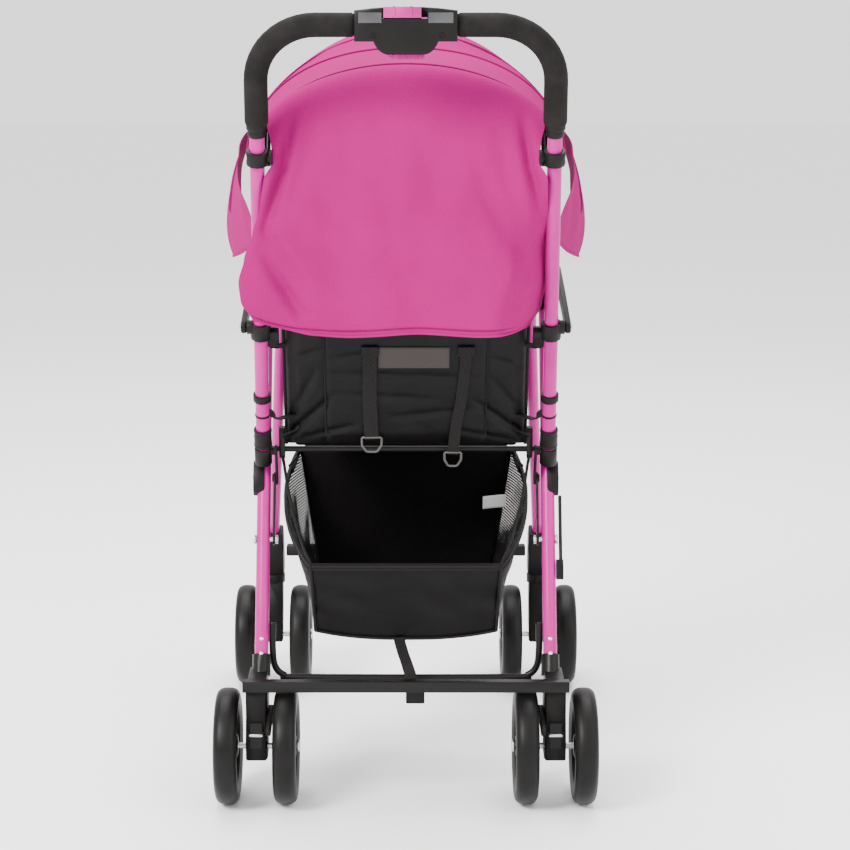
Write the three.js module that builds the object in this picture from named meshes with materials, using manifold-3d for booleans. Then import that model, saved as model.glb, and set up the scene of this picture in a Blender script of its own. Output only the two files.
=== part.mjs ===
// A lightweight folding stroller: twin wheels, a U-shaped push handle, a fan-fold
// canopy with a rear flap, a reclining seat and a basket. Millimetres, +Z up,
// +Y is the driving direction and +X is the right-hand side seen from behind.
import * as THREE from 'three';
import { mergeVertices } from 'three/addons/utils/BufferGeometryUtils.js';
import Module from 'manifold-3d';

const wasm = await Module();
wasm.setup();

// ---------- driving dimensions ----------
const TUBE_R = 9;
const FRONT_TUBE_R = 8;
const GAP = 0.3;
const SLEEVE_BORE = 9.6;

// the object is drawn with Y measured from the rear axle and then centred
const CENTRE_Y = 232;

// side-view points of the frame, as [y, z]
const REAR_AXLE = [0, 75];
const FRONT_AXLE = [537, 75];
const HUB = [245, 657];
const LINK_PIVOT = [104.8, 324];
const HANDLE_PIVOT = [136.8, 400];
const HANDLE_TOP = [-127, 992];
const ARMREST_PIVOT = [41.2, 614.7];
const FRONT_LEG_END = [553, 215];
const CANOPY_HUB = [-30, 830];
const SEAT_HINGE = [150, 437];

const FRAME_X = 188;
const FRONT_LEG_TOP_X = 167;
const FRONT_LEG_END_X = 201;

const WHEEL_R = 75;
const WHEEL_HALF = 15.5;
const AXLE_R = 4;
const BORE_R = 4.5;
const WHEEL_SIDES = 18;
// the tread's flats, not its corners, are at the wheel's radius
const TREAD_R = WHEEL_R / Math.cos(Math.PI / WHEEL_SIDES);
const REAR_WHEEL_X = 192;
const REAR_WHEEL_OFFSET = 37.5;
const FRONT_WHEEL_X = 201;
const FRONT_WHEEL_OFFSET = 41;

const CROSSBAR = { y: -13, z: 159, size: 14, half: 209 };
const SEAT = { half: 150, depth: 232, thick: 24, calf: 115 };
const BACK = { half: 158, length: 395, thick: 26, lean: 25 };
const CANOPY = { front: [225, 992], tip: [190, 690], half: 243, mid: [90, 958], rear: [0, 940] };

// ---------- finishes ----------
const finish = (color, roughness, metalness = 0) => new THREE.MeshStandardMaterial({ color, roughness, metalness });
const PINK_PAINT = finish(0xd15aa2, 0.35);
const BLACK_PLASTIC = finish(0x2d2826, 0.5);
const BLACK_FOAM = finish(0x262423, 0.85);
const PINK_PLASTIC = finish(0xd95fa8, 0.4);
const STEEL = finish(0xb8b8ba, 0.3, 0.9);
const BLACK_STEEL = finish(0x24211f, 0.4, 0.3);
const PINK_FABRIC = finish(0xd45cad, 0.85);
const BLACK_FABRIC = finish(0x1f1c1b, 0.9);
const BLACK_RUBBER = finish(0x2b2a29, 0.7);

// ---------- helpers ----------
const root = new THREE.Group();
root.position.y = -CENTRE_Y;

const rad = THREE.MathUtils.degToRad;
const v3 = (x, [y, z]) => new THREE.Vector3(x, y, z);

function part(name, geometry, material, parent = root) {
  const mesh = new THREE.Mesh(geometry, material);
  mesh.name = name;
  parent.add(mesh);
  return mesh;
}

function toManifold(geometry) {
  const bare = geometry.clone();
  for (const key of Object.keys(bare.attributes)) {
    if (key !== 'position') bare.deleteAttribute(key);
  }
  const merged = mergeVertices(bare, 1e-4);
  const index = merged.index.array;
  const triangles = [];
  for (let i = 0; i < index.length; i += 3) {
    const [a, b, c] = [index[i], index[i + 1], index[i + 2]];
    if (a !== b && b !== c && c !== a) triangles.push(a, b, c);
  }
  const vertProperties = new Float32Array(merged.attributes.position.array);
  const mesh = new wasm.Mesh({ numProp: 3, vertProperties, triVerts: new Uint32Array(triangles) });
  return new wasm.Manifold(mesh);
}

function toGeometry(solid) {
  const mesh = solid.getMesh();
  const geometry = new THREE.BufferGeometry();
  geometry.setAttribute('position', new THREE.BufferAttribute(mesh.vertProperties, 3));
  geometry.setIndex(new THREE.BufferAttribute(mesh.triVerts, 1));
  return geometry;
}

function join(...geometries) {
  const whole = geometries.map(toManifold).reduce((sum, next) => sum.add(next));
  return toGeometry(whole);
}

function cut(geometry, ...tools) {
  const rest = tools.map(toManifold).reduce((left, tool) => left.subtract(tool), toManifold(geometry));
  return toGeometry(rest);
}

function circlePoints(radius, sides) {
  const points = [];
  for (let i = 0; i < sides; i += 1) {
    const angle = (2 * Math.PI * i) / sides;
    points.push(new THREE.Vector2(radius * Math.cos(angle), radius * Math.sin(angle)));
  }
  return points;
}

function tube(curve, outer, steps, { inner = 0, sides = 12 } = {}) {
  const shape = new THREE.Shape(circlePoints(outer, sides));
  if (inner) shape.holes.push(new THREE.Path(circlePoints(inner, sides)));
  return new THREE.ExtrudeGeometry(shape, { steps, extrudePath: curve, bevelEnabled: false });
}

const straight = (from, to) => new THREE.LineCurve3(from, to);
const smooth = (points) => new THREE.CatmullRomCurve3(points, false, 'centripetal');
const rod = (from, to, radius, options) => tube(straight(from, to), radius, 1, options);

// a cylinder along X at side-view point at
const pin = (x0, x1, at, radius, sides = 12) => rod(v3(x0, at), v3(x1, at), radius, { sides });

function block(x0, x1, y0, y1, z0, z1) {
  const box = new THREE.BoxGeometry(x1 - x0, y1 - y0, z1 - z0);
  return box.translate((x0 + x1) / 2, (y0 + y1) / 2, (z0 + z1) / 2);
}

// a side-view outline of [y, z] corners, extruded from x0 to x1
function slab(x0, x1, outline, bevel = 0) {
  const points = outline.map(([y, z]) => new THREE.Vector2(y, z));
  const geometry = new THREE.ExtrudeGeometry(new THREE.Shape(points), {
    depth: x1 - x0 - 2 * bevel,
    bevelEnabled: bevel > 0,
    bevelThickness: bevel,
    bevelSize: bevel,
    bevelOffset: -bevel,
    bevelSegments: 2,
    curveSegments: 6,
  });
  geometry.translate(0, 0, x0 + bevel);
  const swap = new THREE.Matrix4().set(0, 0, 1, 0, 1, 0, 0, 0, 0, 1, 0, 0, 0, 0, 0, 1);
  return geometry.applyMatrix4(swap);
}

// the outline of a strap with round ends between two side-view points
function capsule(from, to, fromR, toR, arcSteps = 8) {
  const along = Math.atan2(to[1] - from[1], to[0] - from[0]);
  const outline = [];
  const ends = [[to, toR, along - Math.PI / 2], [from, fromR, along + Math.PI / 2]];
  for (const [[y, z], radius, start] of ends) {
    for (let i = 0; i <= arcSteps; i += 1) {
      const angle = start + (Math.PI * i) / arcSteps;
      outline.push([y + radius * Math.cos(angle), z + radius * Math.sin(angle)]);
    }
  }
  return outline;
}

// a closed sheet of even thickness from a grid of points, rows by columns
function thickSheet(grid, thickness) {
  const rows = grid.length;
  const columns = grid[0].length;
  const clampRow = (r) => Math.min(Math.max(r, 0), rows - 1);
  const clampColumn = (c) => Math.min(Math.max(c, 0), columns - 1);
  const outer = [];
  const inner = [];
  for (let r = 0; r < rows; r += 1) {
    for (let c = 0; c < columns; c += 1) {
      const alongRow = grid[clampRow(r + 1)][c].clone().sub(grid[clampRow(r - 1)][c]);
      const alongColumn = grid[r][clampColumn(c + 1)].clone().sub(grid[r][clampColumn(c - 1)]);
      const normal = alongColumn.cross(alongRow).normalize().multiplyScalar(thickness / 2);
      outer.push(grid[r][c].clone().add(normal));
      inner.push(grid[r][c].clone().sub(normal));
    }
  }
  const positions = [...outer, ...inner].flatMap((p) => [p.x, p.y, p.z]);
  const base = rows * columns;
  const at = (r, c) => r * columns + c;
  const index = [];
  const quad = (a, b, c, d) => index.push(a, b, c, a, c, d);
  for (let r = 0; r < rows - 1; r += 1) {
    for (let c = 0; c < columns - 1; c += 1) {
      quad(at(r, c), at(r, c + 1), at(r + 1, c + 1), at(r + 1, c));
      quad(base + at(r, c), base + at(r + 1, c), base + at(r + 1, c + 1), base + at(r, c + 1));
    }
  }
  for (let c = 0; c < columns - 1; c += 1) {
    quad(at(0, c), base + at(0, c), base + at(0, c + 1), at(0, c + 1));
    quad(at(rows - 1, c), at(rows - 1, c + 1), base + at(rows - 1, c + 1), base + at(rows - 1, c));
  }
  for (let r = 0; r < rows - 1; r += 1) {
    quad(at(r, 0), at(r + 1, 0), base + at(r + 1, 0), base + at(r, 0));
    quad(at(r, columns - 1), base + at(r, columns - 1), base + at(r + 1, columns - 1), at(r + 1, columns - 1));
  }
  const geometry = new THREE.BufferGeometry();
  geometry.setAttribute('position', new THREE.Float32BufferAttribute(positions, 3));
  geometry.setIndex(index);
  return geometry;
}

// ---------- lines of the frame ----------
const between = (a, b, t) => [a[0] + (b[0] - a[0]) * t, a[1] + (b[1] - a[1]) * t];
const distance = (a, b) => Math.hypot(b[0] - a[0], b[1] - a[1]);
const onRearLeg = (z) => between(REAR_AXLE, HUB, (z - REAR_AXLE[1]) / (HUB[1] - REAR_AXLE[1]));
const HANDLE_LENGTH = distance(HANDLE_PIVOT, HANDLE_TOP);

// a point of the handle plane, s along the handle from its lower pivot
function onHandle(s, x) {
  return v3(x, between(HANDLE_PIVOT, HANDLE_TOP, s / HANDLE_LENGTH));
}
const HANDLE_TAPER = (FRAME_X - 179) / 474;
const handleX = (s) => FRAME_X - HANDLE_TAPER * Math.max(0, s - 28);
const handlePoint = (s) => onHandle(s, handleX(s));

const handleSleeve = (s0, s1, outer, inner = SLEEVE_BORE) => (
  rod(handlePoint(s0), handlePoint(s1), outer, { inner, sides: 14 })
);

// ---------- handle ----------
const CORNER_R = 72;
const CORNER_START = HANDLE_LENGTH - CORNER_R;
const GRIP_START = 516;
const GRIP_END_X = 61;

// the middle line of the handle: up one side, round the corner and in to toX,
// or on round the other side as well
function handleCurve(fromS, toX, bothSides = false) {
  const points = [];
  if (fromS < CORNER_START - 20) {
    const count = Math.max(2, Math.round((CORNER_START - fromS) / 90));
    for (let i = 0; i < count; i += 1) {
      points.push(handlePoint(fromS + ((CORNER_START - fromS) * i) / count));
    }
  }
  const cornerX = handleX(CORNER_START);
  for (let i = 0; i <= 5; i += 1) {
    const angle = (Math.PI / 2) * (i / 5);
    const x = cornerX - CORNER_R * (1 - Math.cos(angle));
    points.push(onHandle(CORNER_START + CORNER_R * Math.sin(angle), x));
  }
  points.push(onHandle(HANDLE_LENGTH, toX));
  if (bothSides) {
    const mirrored = points.map((p) => new THREE.Vector3(-p.x, p.y, p.z)).reverse();
    return smooth([...points.slice(0, -1), ...mirrored]);
  }
  return smooth(points);
}

part('handle_tube', tube(handleCurve(28, 0, true), TUBE_R, 40, { sides: 10 }), PINK_PAINT);

const HOUSING = { half: 57, top: 18, bottom: -16, belly: -31, depth: 21 };
function housingOutline() {
  const shape = new THREE.Shape();
  shape.moveTo(-HOUSING.half, HOUSING.bottom);
  shape.lineTo(-36, HOUSING.bottom);
  shape.quadraticCurveTo(-30, HOUSING.belly, -20, HOUSING.belly);
  shape.lineTo(20, HOUSING.belly);
  shape.quadraticCurveTo(30, HOUSING.belly, 36, HOUSING.bottom);
  shape.lineTo(HOUSING.half, HOUSING.bottom);
  shape.lineTo(HOUSING.half, HOUSING.top - 4);
  shape.quadraticCurveTo(0, HOUSING.top + 4, -HOUSING.half, HOUSING.top - 4);
  return shape;
}
const housingSettings = { depth: 2 * HOUSING.depth - 6, bevelThickness: 3, bevelSize: 3, bevelSegments: 2 };
const housingBody = new THREE.ExtrudeGeometry(housingOutline(), { ...housingSettings, curveSegments: 6 });
housingBody.translate(0, 0, 3 - HOUSING.depth);
housingBody.rotateX(Math.PI / 2);
housingBody.translate(0, HANDLE_TOP[0], HANDLE_TOP[1]);
const TRIGGER = { half: 22, halfY: 8 };
const SLIDER = { x0: -26, x1: 18, rear: -22, front: 6, bottom: 8, top: 20.5, travel: 6 };

// a block placed from the middle of the handle's crossbar
function atHandleTop(x0, x1, y0, y1, z0, z1) {
  return block(x0, x1, y0, y1, z0, z1).translate(0, HANDLE_TOP[0], HANDLE_TOP[1]);
}
const housingBore = pin(-70, 70, HANDLE_TOP, SLEEVE_BORE + 0.2, 20);
const wellHalf = TRIGGER.half + 1;
const triggerWell = atHandleTop(-wellHalf, wellHalf, -TRIGGER.halfY - 1, TRIGGER.halfY + 1, -40, -12);
const sliderSlot = atHandleTop(
  SLIDER.x0 - 1, SLIDER.x1 + SLIDER.travel + 1, SLIDER.rear - 8, SLIDER.front + 1, SLIDER.bottom - 1, 30,
);
part('handle_housing', cut(housingBody, housingBore, triggerWell, sliderSlot), BLACK_PLASTIC);

const triggerBar = atHandleTop(-TRIGGER.half, TRIGGER.half, -TRIGGER.halfY, TRIGGER.halfY, -40, -22);
part('squeeze_trigger', triggerBar, PINK_PLASTIC);
const sliderBlock = atHandleTop(SLIDER.x0, SLIDER.x1, SLIDER.rear, SLIDER.front, SLIDER.bottom, SLIDER.top);
const sliderBar = cut(sliderBlock, pin(-70, 70, HANDLE_TOP, SLEEVE_BORE + 0.8, 20));
part('safety_slider', sliderBar, PINK_PLASTIC);

// ---------- canopy ----------
const BOW_R = 3;
const BOW_NECK = 14;
function archPoint(angle, apex, base, half, power) {
  const across = Math.sign(Math.cos(angle)) * Math.abs(Math.cos(angle)) ** (2 / power);
  const rise = Math.abs(Math.sin(angle)) ** (2 / power);
  return v3(half * across, between(base, apex, rise));
}

function bow(name, apex, half, power, knuckleX) {
  const neck = between(CANOPY_HUB, apex, BOW_NECK / distance(CANOPY_HUB, apex));
  const points = [v3(knuckleX, CANOPY_HUB), v3(knuckleX, neck)];
  for (let i = 2; i < 15; i += 1) {
    points.push(archPoint((Math.PI * i) / 16, apex, CANOPY_HUB, half, power));
  }
  points.push(v3(-knuckleX, neck), v3(-knuckleX, CANOPY_HUB));
  const wire = tube(smooth(points), BOW_R, 24, { sides: 6 });
  const knuckle = (s) => pin(s * (knuckleX - BOW_R), s * (knuckleX + BOW_R), CANOPY_HUB, 8);
  const hole = (s) => pin(s * (knuckleX - 5), s * (knuckleX + 5), CANOPY_HUB, 2.8);
  part(name, cut(join(wire, knuckle(1), knuckle(-1)), hole(1), hole(-1)), BLACK_STEEL);
}

bow('canopy_rear_bow', CANOPY.rear, 180, 2.05, 168);
bow('canopy_mid_bow', CANOPY.mid, 182, 2.2, 174.6);
bow('canopy_front_bow', [214, 979], 174, 2, 182);

function frontRimPoint(angle) {
  return v3(CANOPY.half * Math.cos(angle), between(CANOPY.tip, CANOPY.front, Math.sin(angle)));
}

// the canopy cloth is one sheet: the rear flap, the rear panel and the front panel
const COLUMNS = 16;
function clothRow(make) {
  const row = [];
  for (let c = 0; c <= COLUMNS; c += 1) row.push(make((Math.PI * c) / COLUMNS));
  return row;
}
const FLAP = { half: 156, hemY: -38, hemZ: 616, bulgeY: -62 };
const CLOTH_LIFT = 8;
const clothRows = [];
for (const t of [0, 0.2, 0.4, 0.6, 0.8]) {
  const z = FLAP.hemZ + (CANOPY.rear[1] + CLOTH_LIFT - FLAP.hemZ) * t;
  const y = FLAP.hemY + (FLAP.bulgeY - FLAP.hemY) * Math.sin(Math.min(t / 0.6, 1) * (Math.PI / 2));
  const shoulder = Math.max(0, t - 0.6) * 2;
  clothRows.push(clothRow((a) => {
    const drop = shoulder * 60 * Math.abs(Math.cos(a)) ** 3;
    return new THREE.Vector3((FLAP.half - shoulder * 10) * Math.cos(a), y, z - drop);
  }));
}
const lifted = ([y, z]) => [y, z + CLOTH_LIFT];
function bowClothRow(apex, half, power, trim) {
  const squeeze = (a) => trim + ((Math.PI - 2 * trim) * a) / Math.PI;
  return clothRow((a) => archPoint(squeeze(a), lifted(apex), CANOPY_HUB, half, power));
}
clothRows.push(bowClothRow(CANOPY.rear, 188, 2.05, 0.2));
clothRows.push(bowClothRow(CANOPY.mid, 194, 2.2, 0.05));
clothRows.push(clothRow((a) => archPoint(a, [158, CANOPY.front[1] - 10], [130, 752], 226, 2.05)));
clothRows.push(clothRow((a) => frontRimPoint(a)));
part('canopy_cloth', thickSheet(clothRows, 3), PINK_FABRIC);

// ---------- what is doubled left and right ----------
function wheel(centreX, [y, z]) {
  const half = [[BORE_R, 13], [16, 13], [19, 6.5], [50, 6.5], [56, 13], [64, WHEEL_HALF], [TREAD_R, 6]];
  const mirrored = half.map(([r, x]) => [r, -x]);
  const profile = [...mirrored, ...half.reverse(), mirrored[0]].map(([r, x]) => new THREE.Vector2(r, x));
  const geometry = new THREE.LatheGeometry(profile, WHEEL_SIDES);
  geometry.rotateZ(-Math.PI / 2);
  geometry.rotateX(Math.PI / WHEEL_SIDES);
  return geometry.translate(centreX, y, z);
}

function axle(x0, x1, at) {
  const head = (x, sign) => pin(x, x + sign * 3, at, 8);
  return join(pin(x0, x1, at, AXLE_R), head(x0, -1), head(x1, 1));
}

const SIDE_ARM = { x0: 202, x1: 209 };

function sideParts(side, sign) {
  const group = new THREE.Group();
  group.scale.x = sign;
  root.add(group);
  const add = (name, geometry, material) => part(`${name}_${side}`, geometry, material, group);

  // rear leg, its top hub, and the pivot bolt of the fold link
  const legTop = v3(FRAME_X, onRearLeg(648));
  const legEnd = v3(FRAME_X, onRearLeg(166));
  const legCut = rod(v3(FRAME_X, onRearLeg(150)), v3(FRAME_X, onRearLeg(649)), TUBE_R + GAP, { sides: 12 });
  const boltHole = pin(170, 206, LINK_PIVOT, 3.3);
  add('rear_leg', cut(rod(legEnd, legTop, TUBE_R, { sides: 12 }), boltHole), PINK_PAINT);
  const hubSleeve = rod(v3(FRAME_X, onRearLeg(612)), v3(FRAME_X, HUB), 12.5, { sides: 12 });
  const hubBoss = pin(180, 201, HUB, 19, 24);
  const hubPin = pin(158, 182, HUB, 5);
  add('leg_hub', cut(join(hubBoss, hubSleeve, hubPin), legCut), BLACK_PLASTIC);
  const boltShank = pin(172, 198, LINK_PIVOT, 3);
  const boltHead = pin(197.4, 200.4, LINK_PIVOT, 6.5);
  const boltNut = pin(168.4, 172.3, LINK_PIVOT, 6);
  add('link_bolt', join(boltNut, boltShank, boltHead), STEEL);

  // a clamp on the rear leg that the handle's foot closes onto
  const clampBox = slab(187, 202, capsule(onRearLeg(389), onRearLeg(411), 12, 12, 4), 1.5);
  add('leg_clamp', cut(clampBox, legCut), BLACK_PLASTIC);

  // rear wheel housing, axle and wheels
  const housingProfile = [
    [-22, 62], [2, 56], [24, 60], [34, 84], [44, 122], [46, 151.7], [-12, 151.7], [-14, 118], [-22, 92],
  ];
  const rearHousing = slab(REAR_WHEEL_X - 13.5, REAR_WHEEL_X + 13.5, housingProfile, 2);
  const rearBore = pin(REAR_WHEEL_X - 20, REAR_WHEEL_X + 20, REAR_AXLE, AXLE_R + 0.4);
  add('rear_wheel_housing', cut(rearHousing, rearBore), BLACK_PLASTIC);
  const rearReach = REAR_WHEEL_OFFSET + 14;
  add('rear_axle', axle(REAR_WHEEL_X - rearReach, REAR_WHEEL_X + rearReach, REAR_AXLE), STEEL);
  add('rear_wheel_inner', wheel(REAR_WHEEL_X - REAR_WHEEL_OFFSET, REAR_AXLE), BLACK_RUBBER);
  add('rear_wheel_outer', wheel(REAR_WHEEL_X + REAR_WHEEL_OFFSET, REAR_AXLE), BLACK_RUBBER);
  const leverOutline = [[-52, 112], [-50, 104], [-20, 108], [14, 112], [20, 118], [14, 126], [-14, 122]];
  add('brake_lever', slab(171.4, 177.9, leverOutline, 1), BLACK_PLASTIC);

  // front leg, its wheel housing and the caster
  const frontTop = v3(FRONT_LEG_TOP_X, HUB);
  const frontEnd = v3(FRONT_LEG_END_X, FRONT_LEG_END);
  const frontDirection = frontEnd.clone().sub(frontTop).normalize();
  const alongFront = (d) => frontTop.clone().addScaledVector(frontDirection, d);
  const knuckle = pin(159, 174.8, HUB, 14, 16);
  const knuckleHole = pin(150, 190, HUB, 5.4);
  const frontTube = rod(frontTop, frontEnd, FRONT_TUBE_R, { sides: 14 });
  add('front_leg', cut(join(frontTube, knuckle), knuckleHole), PINK_PAINT);
  const socketEnd = alongFront(frontTop.distanceTo(frontEnd) + GAP);
  const socket = rod(alongFront(400), socketEnd, FRONT_TUBE_R + GAP, { sides: 12 });
  const stemY = 560;
  const frontProfile = [[543, 166], [577, 166], [580, 182], [566, 226], [545, 244], [528, 232], [533, 200]];
  const frontHousing = slab(FRONT_WHEEL_X - 15, FRONT_WHEEL_X + 15, frontProfile, 2);
  const stemBore = rod(v3(FRONT_WHEEL_X, [stemY, 150]), v3(FRONT_WHEEL_X, [stemY, 192]), 6.4, { sides: 12 });
  add('front_wheel_housing', cut(frontHousing, socket, stemBore), BLACK_PLASTIC);
  const stem = rod(v3(FRONT_WHEEL_X, [stemY, 140]), v3(FRONT_WHEEL_X, [stemY, 190]), 6, { sides: 12 });
  const collar = rod(v3(FRONT_WHEEL_X, [stemY, 152]), v3(FRONT_WHEEL_X, [stemY, 165.4]), 16, { sides: 20 });
  const forkProfile = [[524, 66], [546, 62], [566, 96], [576, 140], [574, 154], [546, 154], [528, 120]];
  const forkBlock = slab(FRONT_WHEEL_X - 13, FRONT_WHEEL_X + 13, forkProfile, 2);
  const forkBore = pin(FRONT_WHEEL_X - 20, FRONT_WHEEL_X + 20, FRONT_AXLE, AXLE_R + 0.4);
  add('caster_fork', cut(join(stem, collar, forkBlock), forkBore), BLACK_PLASTIC);
  const frontReach = FRONT_WHEEL_OFFSET + 14;
  add('front_axle', axle(FRONT_WHEEL_X - frontReach, FRONT_WHEEL_X + frontReach, FRONT_AXLE), STEEL);
  add('front_wheel_inner', wheel(FRONT_WHEEL_X - FRONT_WHEEL_OFFSET, FRONT_AXLE), BLACK_RUBBER);
  add('front_wheel_outer', wheel(FRONT_WHEEL_X + FRONT_WHEEL_OFFSET, FRONT_AXLE), BLACK_RUBBER);

  // fold link, a steel strip from the rear leg to the handle's foot
  const strip = slab(172.6, 175.2, capsule(LINK_PIVOT, HANDLE_PIVOT, 8, 8));
  const stripHoles = [pin(160, 190, LINK_PIVOT, 3.3), pin(160, 190, HANDLE_PIVOT, 3.3)];
  add('fold_link', cut(strip, ...stripHoles), BLACK_STEEL);

  // the handle's foot, lock collar, saddle, canopy clip and grip
  const footEnd = [onHandle(44, 0).y, onHandle(44, 0).z];
  const footPlate = slab(169.6, 172.2, capsule(HANDLE_PIVOT, footEnd, 9, 8));
  const footBridge = rod(v3(170, footEnd), v3(182, footEnd), 5.5);
  const footPin = pin(171, 176.9, HANDLE_PIVOT, 3);
  const footHead = pin(175.6, 177.2, HANDLE_PIVOT, 5.5);
  const footSleeve = rod(handlePoint(25), handlePoint(50), 11.4, { sides: 12 });
  const handleCut = rod(handlePoint(28 - GAP), handlePoint(470), SLEEVE_BORE, { sides: 20 });
  add('handle_foot', cut(join(footPlate, footBridge, footPin, footHead, footSleeve), handleCut), BLACK_PLASTIC);
  add('lock_collar', handleSleeve(52, 80, 12), BLACK_PLASTIC);

  const saddleSleeve = rod(handlePoint(220), handlePoint(242), 13, { sides: 12 });
  const saddleEar = pin(192, SIDE_ARM.x0 - 0.6, ARMREST_PIVOT, 9);
  const saddlePin = pin(196, SIDE_ARM.x1 + 1, ARMREST_PIVOT, 3.5);
  const saddleLug = slab(162, 180, capsule([50, 606], [58, 594], 9, 7, 4));
  const saddle = cut(join(saddleSleeve, saddleEar, saddlePin, saddleLug), handleCut);
  add('armrest_saddle', saddle, BLACK_PLASTIC);

  const clipAt = [onHandle(476, 0).y, onHandle(476, 0).z];
  const clipSleeve = rod(handlePoint(467), handlePoint(485), 13.5, { sides: 12 });
  const clipPlate = slab(161, 164.6, capsule(clipAt, CANOPY_HUB, 9, 9));
  const clipBridge = rod(v3(161.5, clipAt), v3(176, clipAt), 6);
  const clipPin = pin(164, 186, CANOPY_HUB, 2.4);
  const clipCut = rod(handlePoint(440), handlePoint(510), SLEEVE_BORE, { sides: 20 });
  const clip = cut(join(clipSleeve, clipPlate, clipBridge, clipPin), clipCut);
  add('canopy_clip', clip, BLACK_PLASTIC);

  const grip = tube(handleCurve(GRIP_START, GRIP_END_X), 14.5, 16, { inner: 11.3, sides: 10 });
  add('handle_grip', grip, BLACK_FOAM);

  // armrest, hinged on the saddle; its front end meets the hub without a pin
  const [middleY, middleZ] = between(ARMREST_PIVOT, HUB, 0.55);
  const armrestOutline = [
    ...capsule(ARMREST_PIVOT, [middleY, middleZ + 3], 8, 9, 5).slice(6),
    [middleY, middleZ - 7],
    [HUB[0] - 6, HUB[1] - 9],
    [HUB[0] + 8, HUB[1] - 7],
    [HUB[0] + 13, HUB[1] + 3],
    [HUB[0] + 8, HUB[1] + 11],
    [HUB[0] - 8, HUB[1] + 14],
    [middleY, middleZ + 14],
  ];
  const armrestHole = pin(190, 240, ARMREST_PIVOT, 3.9);
  add('armrest', cut(slab(SIDE_ARM.x0, SIDE_ARM.x1, armrestOutline, 1.5), armrestHole), BLACK_PLASTIC);
}
sideParts('right', 1);
sideParts('left', -1);

// ---------- cross members ----------
const bar = block(
  -CROSSBAR.half, CROSSBAR.half,
  CROSSBAR.y - CROSSBAR.size / 2, CROSSBAR.y + CROSSBAR.size / 2,
  CROSSBAR.z - CROSSBAR.size / 2, CROSSBAR.z + CROSSBAR.size / 2,
);
const endBrackets = [1, -1].flatMap((s) => [
  block(Math.min(s * 179.5, s * 203), Math.max(s * 179.5, s * 203), -20, 48, 152.4, 166),
  rod(v3(s * FRAME_X, onRearLeg(158)), v3(s * FRAME_X, onRearLeg(184)), 11.8, { sides: 12 }),
]);
const legSockets = [1, -1].map((s) => (
  rod(v3(s * FRAME_X, onRearLeg(161.4)), v3(s * FRAME_X, onRearLeg(220)), TUBE_R + GAP, { sides: 16 })
));
part('rear_crossbar', cut(join(bar, ...endBrackets), ...legSockets), BLACK_STEEL);

const HOOP = { x: 174.2, topZ: 222, y: 56, bottomZ: 150, bend: 30 };
const hoopSide = [
  [HOOP.x, onRearLeg(HOOP.topZ)[0] + 2, HOOP.topZ],
  [HOOP.x, HOOP.y, HOOP.bottomZ + HOOP.bend + 8],
  [HOOP.x - 3, HOOP.y, HOOP.bottomZ + HOOP.bend * 0.5],
  [HOOP.x - HOOP.bend * 0.5, HOOP.y, HOOP.bottomZ + 3],
  [HOOP.x - HOOP.bend - 8, HOOP.y, HOOP.bottomZ],
];
const hoopPoints = [
  ...hoopSide.map(([x, y, z]) => new THREE.Vector3(x, y, z)),
  ...hoopSide.map(([x, y, z]) => new THREE.Vector3(-x, y, z)).reverse(),
];
part('brace_hoop', tube(smooth(hoopPoints), 4.5, 22, { sides: 8 }), BLACK_STEEL);

const seatRod = pin(-178.4, 178.4, SEAT_HINGE, 4);
const cornerBlocks = [1, -1].map((s) => {
  const [x0, x1] = s > 0 ? [160.5, 168] : [-168, -160.5];
  return slab(x0, x1, capsule([150, 432], [146, 462], 8, 7, 4));
});
part('seat_rod', join(seatRod, ...cornerBlocks), BLACK_STEEL);

const footrestBar = slab(-181, 181, [[526, 200], [548, 198], [552, 206], [549, 214], [528, 214]], 1.5);
part('footrest', footrestBar, BLACK_PLASTIC);

const latchRod = rod(v3(203.8, onRearLeg(292)), v3(203.8, onRearLeg(378)), 2.4, { sides: 8 });
const latchBlock = slab(197.6, 207, capsule(onRearLeg(281), onRearLeg(293), 7, 7, 4));
part('storage_latch', join(latchRod, latchBlock), BLACK_PLASTIC);

// ---------- soft parts as plain solids ----------
const seatY = SEAT_HINGE[0] + 14;
const seatTop = SEAT_HINGE[1] + 22;
const seatOutline = [
  [seatY, seatTop], [seatY + SEAT.depth, seatTop + 12], [seatY + SEAT.depth + 14, seatTop],
  [seatY + SEAT.depth + 22, seatTop - SEAT.calf], [seatY + SEAT.depth + 8, seatTop - SEAT.calf - 2],
  [seatY + SEAT.depth - 8, seatTop - SEAT.thick], [seatY, seatTop - SEAT.thick],
];
part('seat_cushion', slab(-SEAT.half, SEAT.half, seatOutline, 3), BLACK_FABRIC);

function backShape() {
  const shape = new THREE.Shape();
  const { half, length } = BACK;
  shape.moveTo(-half, 0);
  shape.lineTo(half, 0);
  shape.lineTo(half - 2, length * 0.5);
  shape.quadraticCurveTo(half - 6, length * 0.86, half - 40, length - 8);
  shape.quadraticCurveTo(0, length + 6, -half + 40, length - 8);
  shape.quadraticCurveTo(-half + 6, length * 0.86, -half + 2, length * 0.5);
  return shape;
}
const backSettings = { depth: BACK.thick, bevelEnabled: false, curveSegments: 5 };
const backPad = new THREE.ExtrudeGeometry(backShape(), backSettings);
backPad.rotateX(Math.PI / 2);
backPad.translate(0, BACK.thick / 2, 22);
backPad.rotateX(rad(BACK.lean));
backPad.translate(0, SEAT_HINGE[0], SEAT_HINGE[1]);
part('seat_back', backPad, BLACK_FABRIC);

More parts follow.
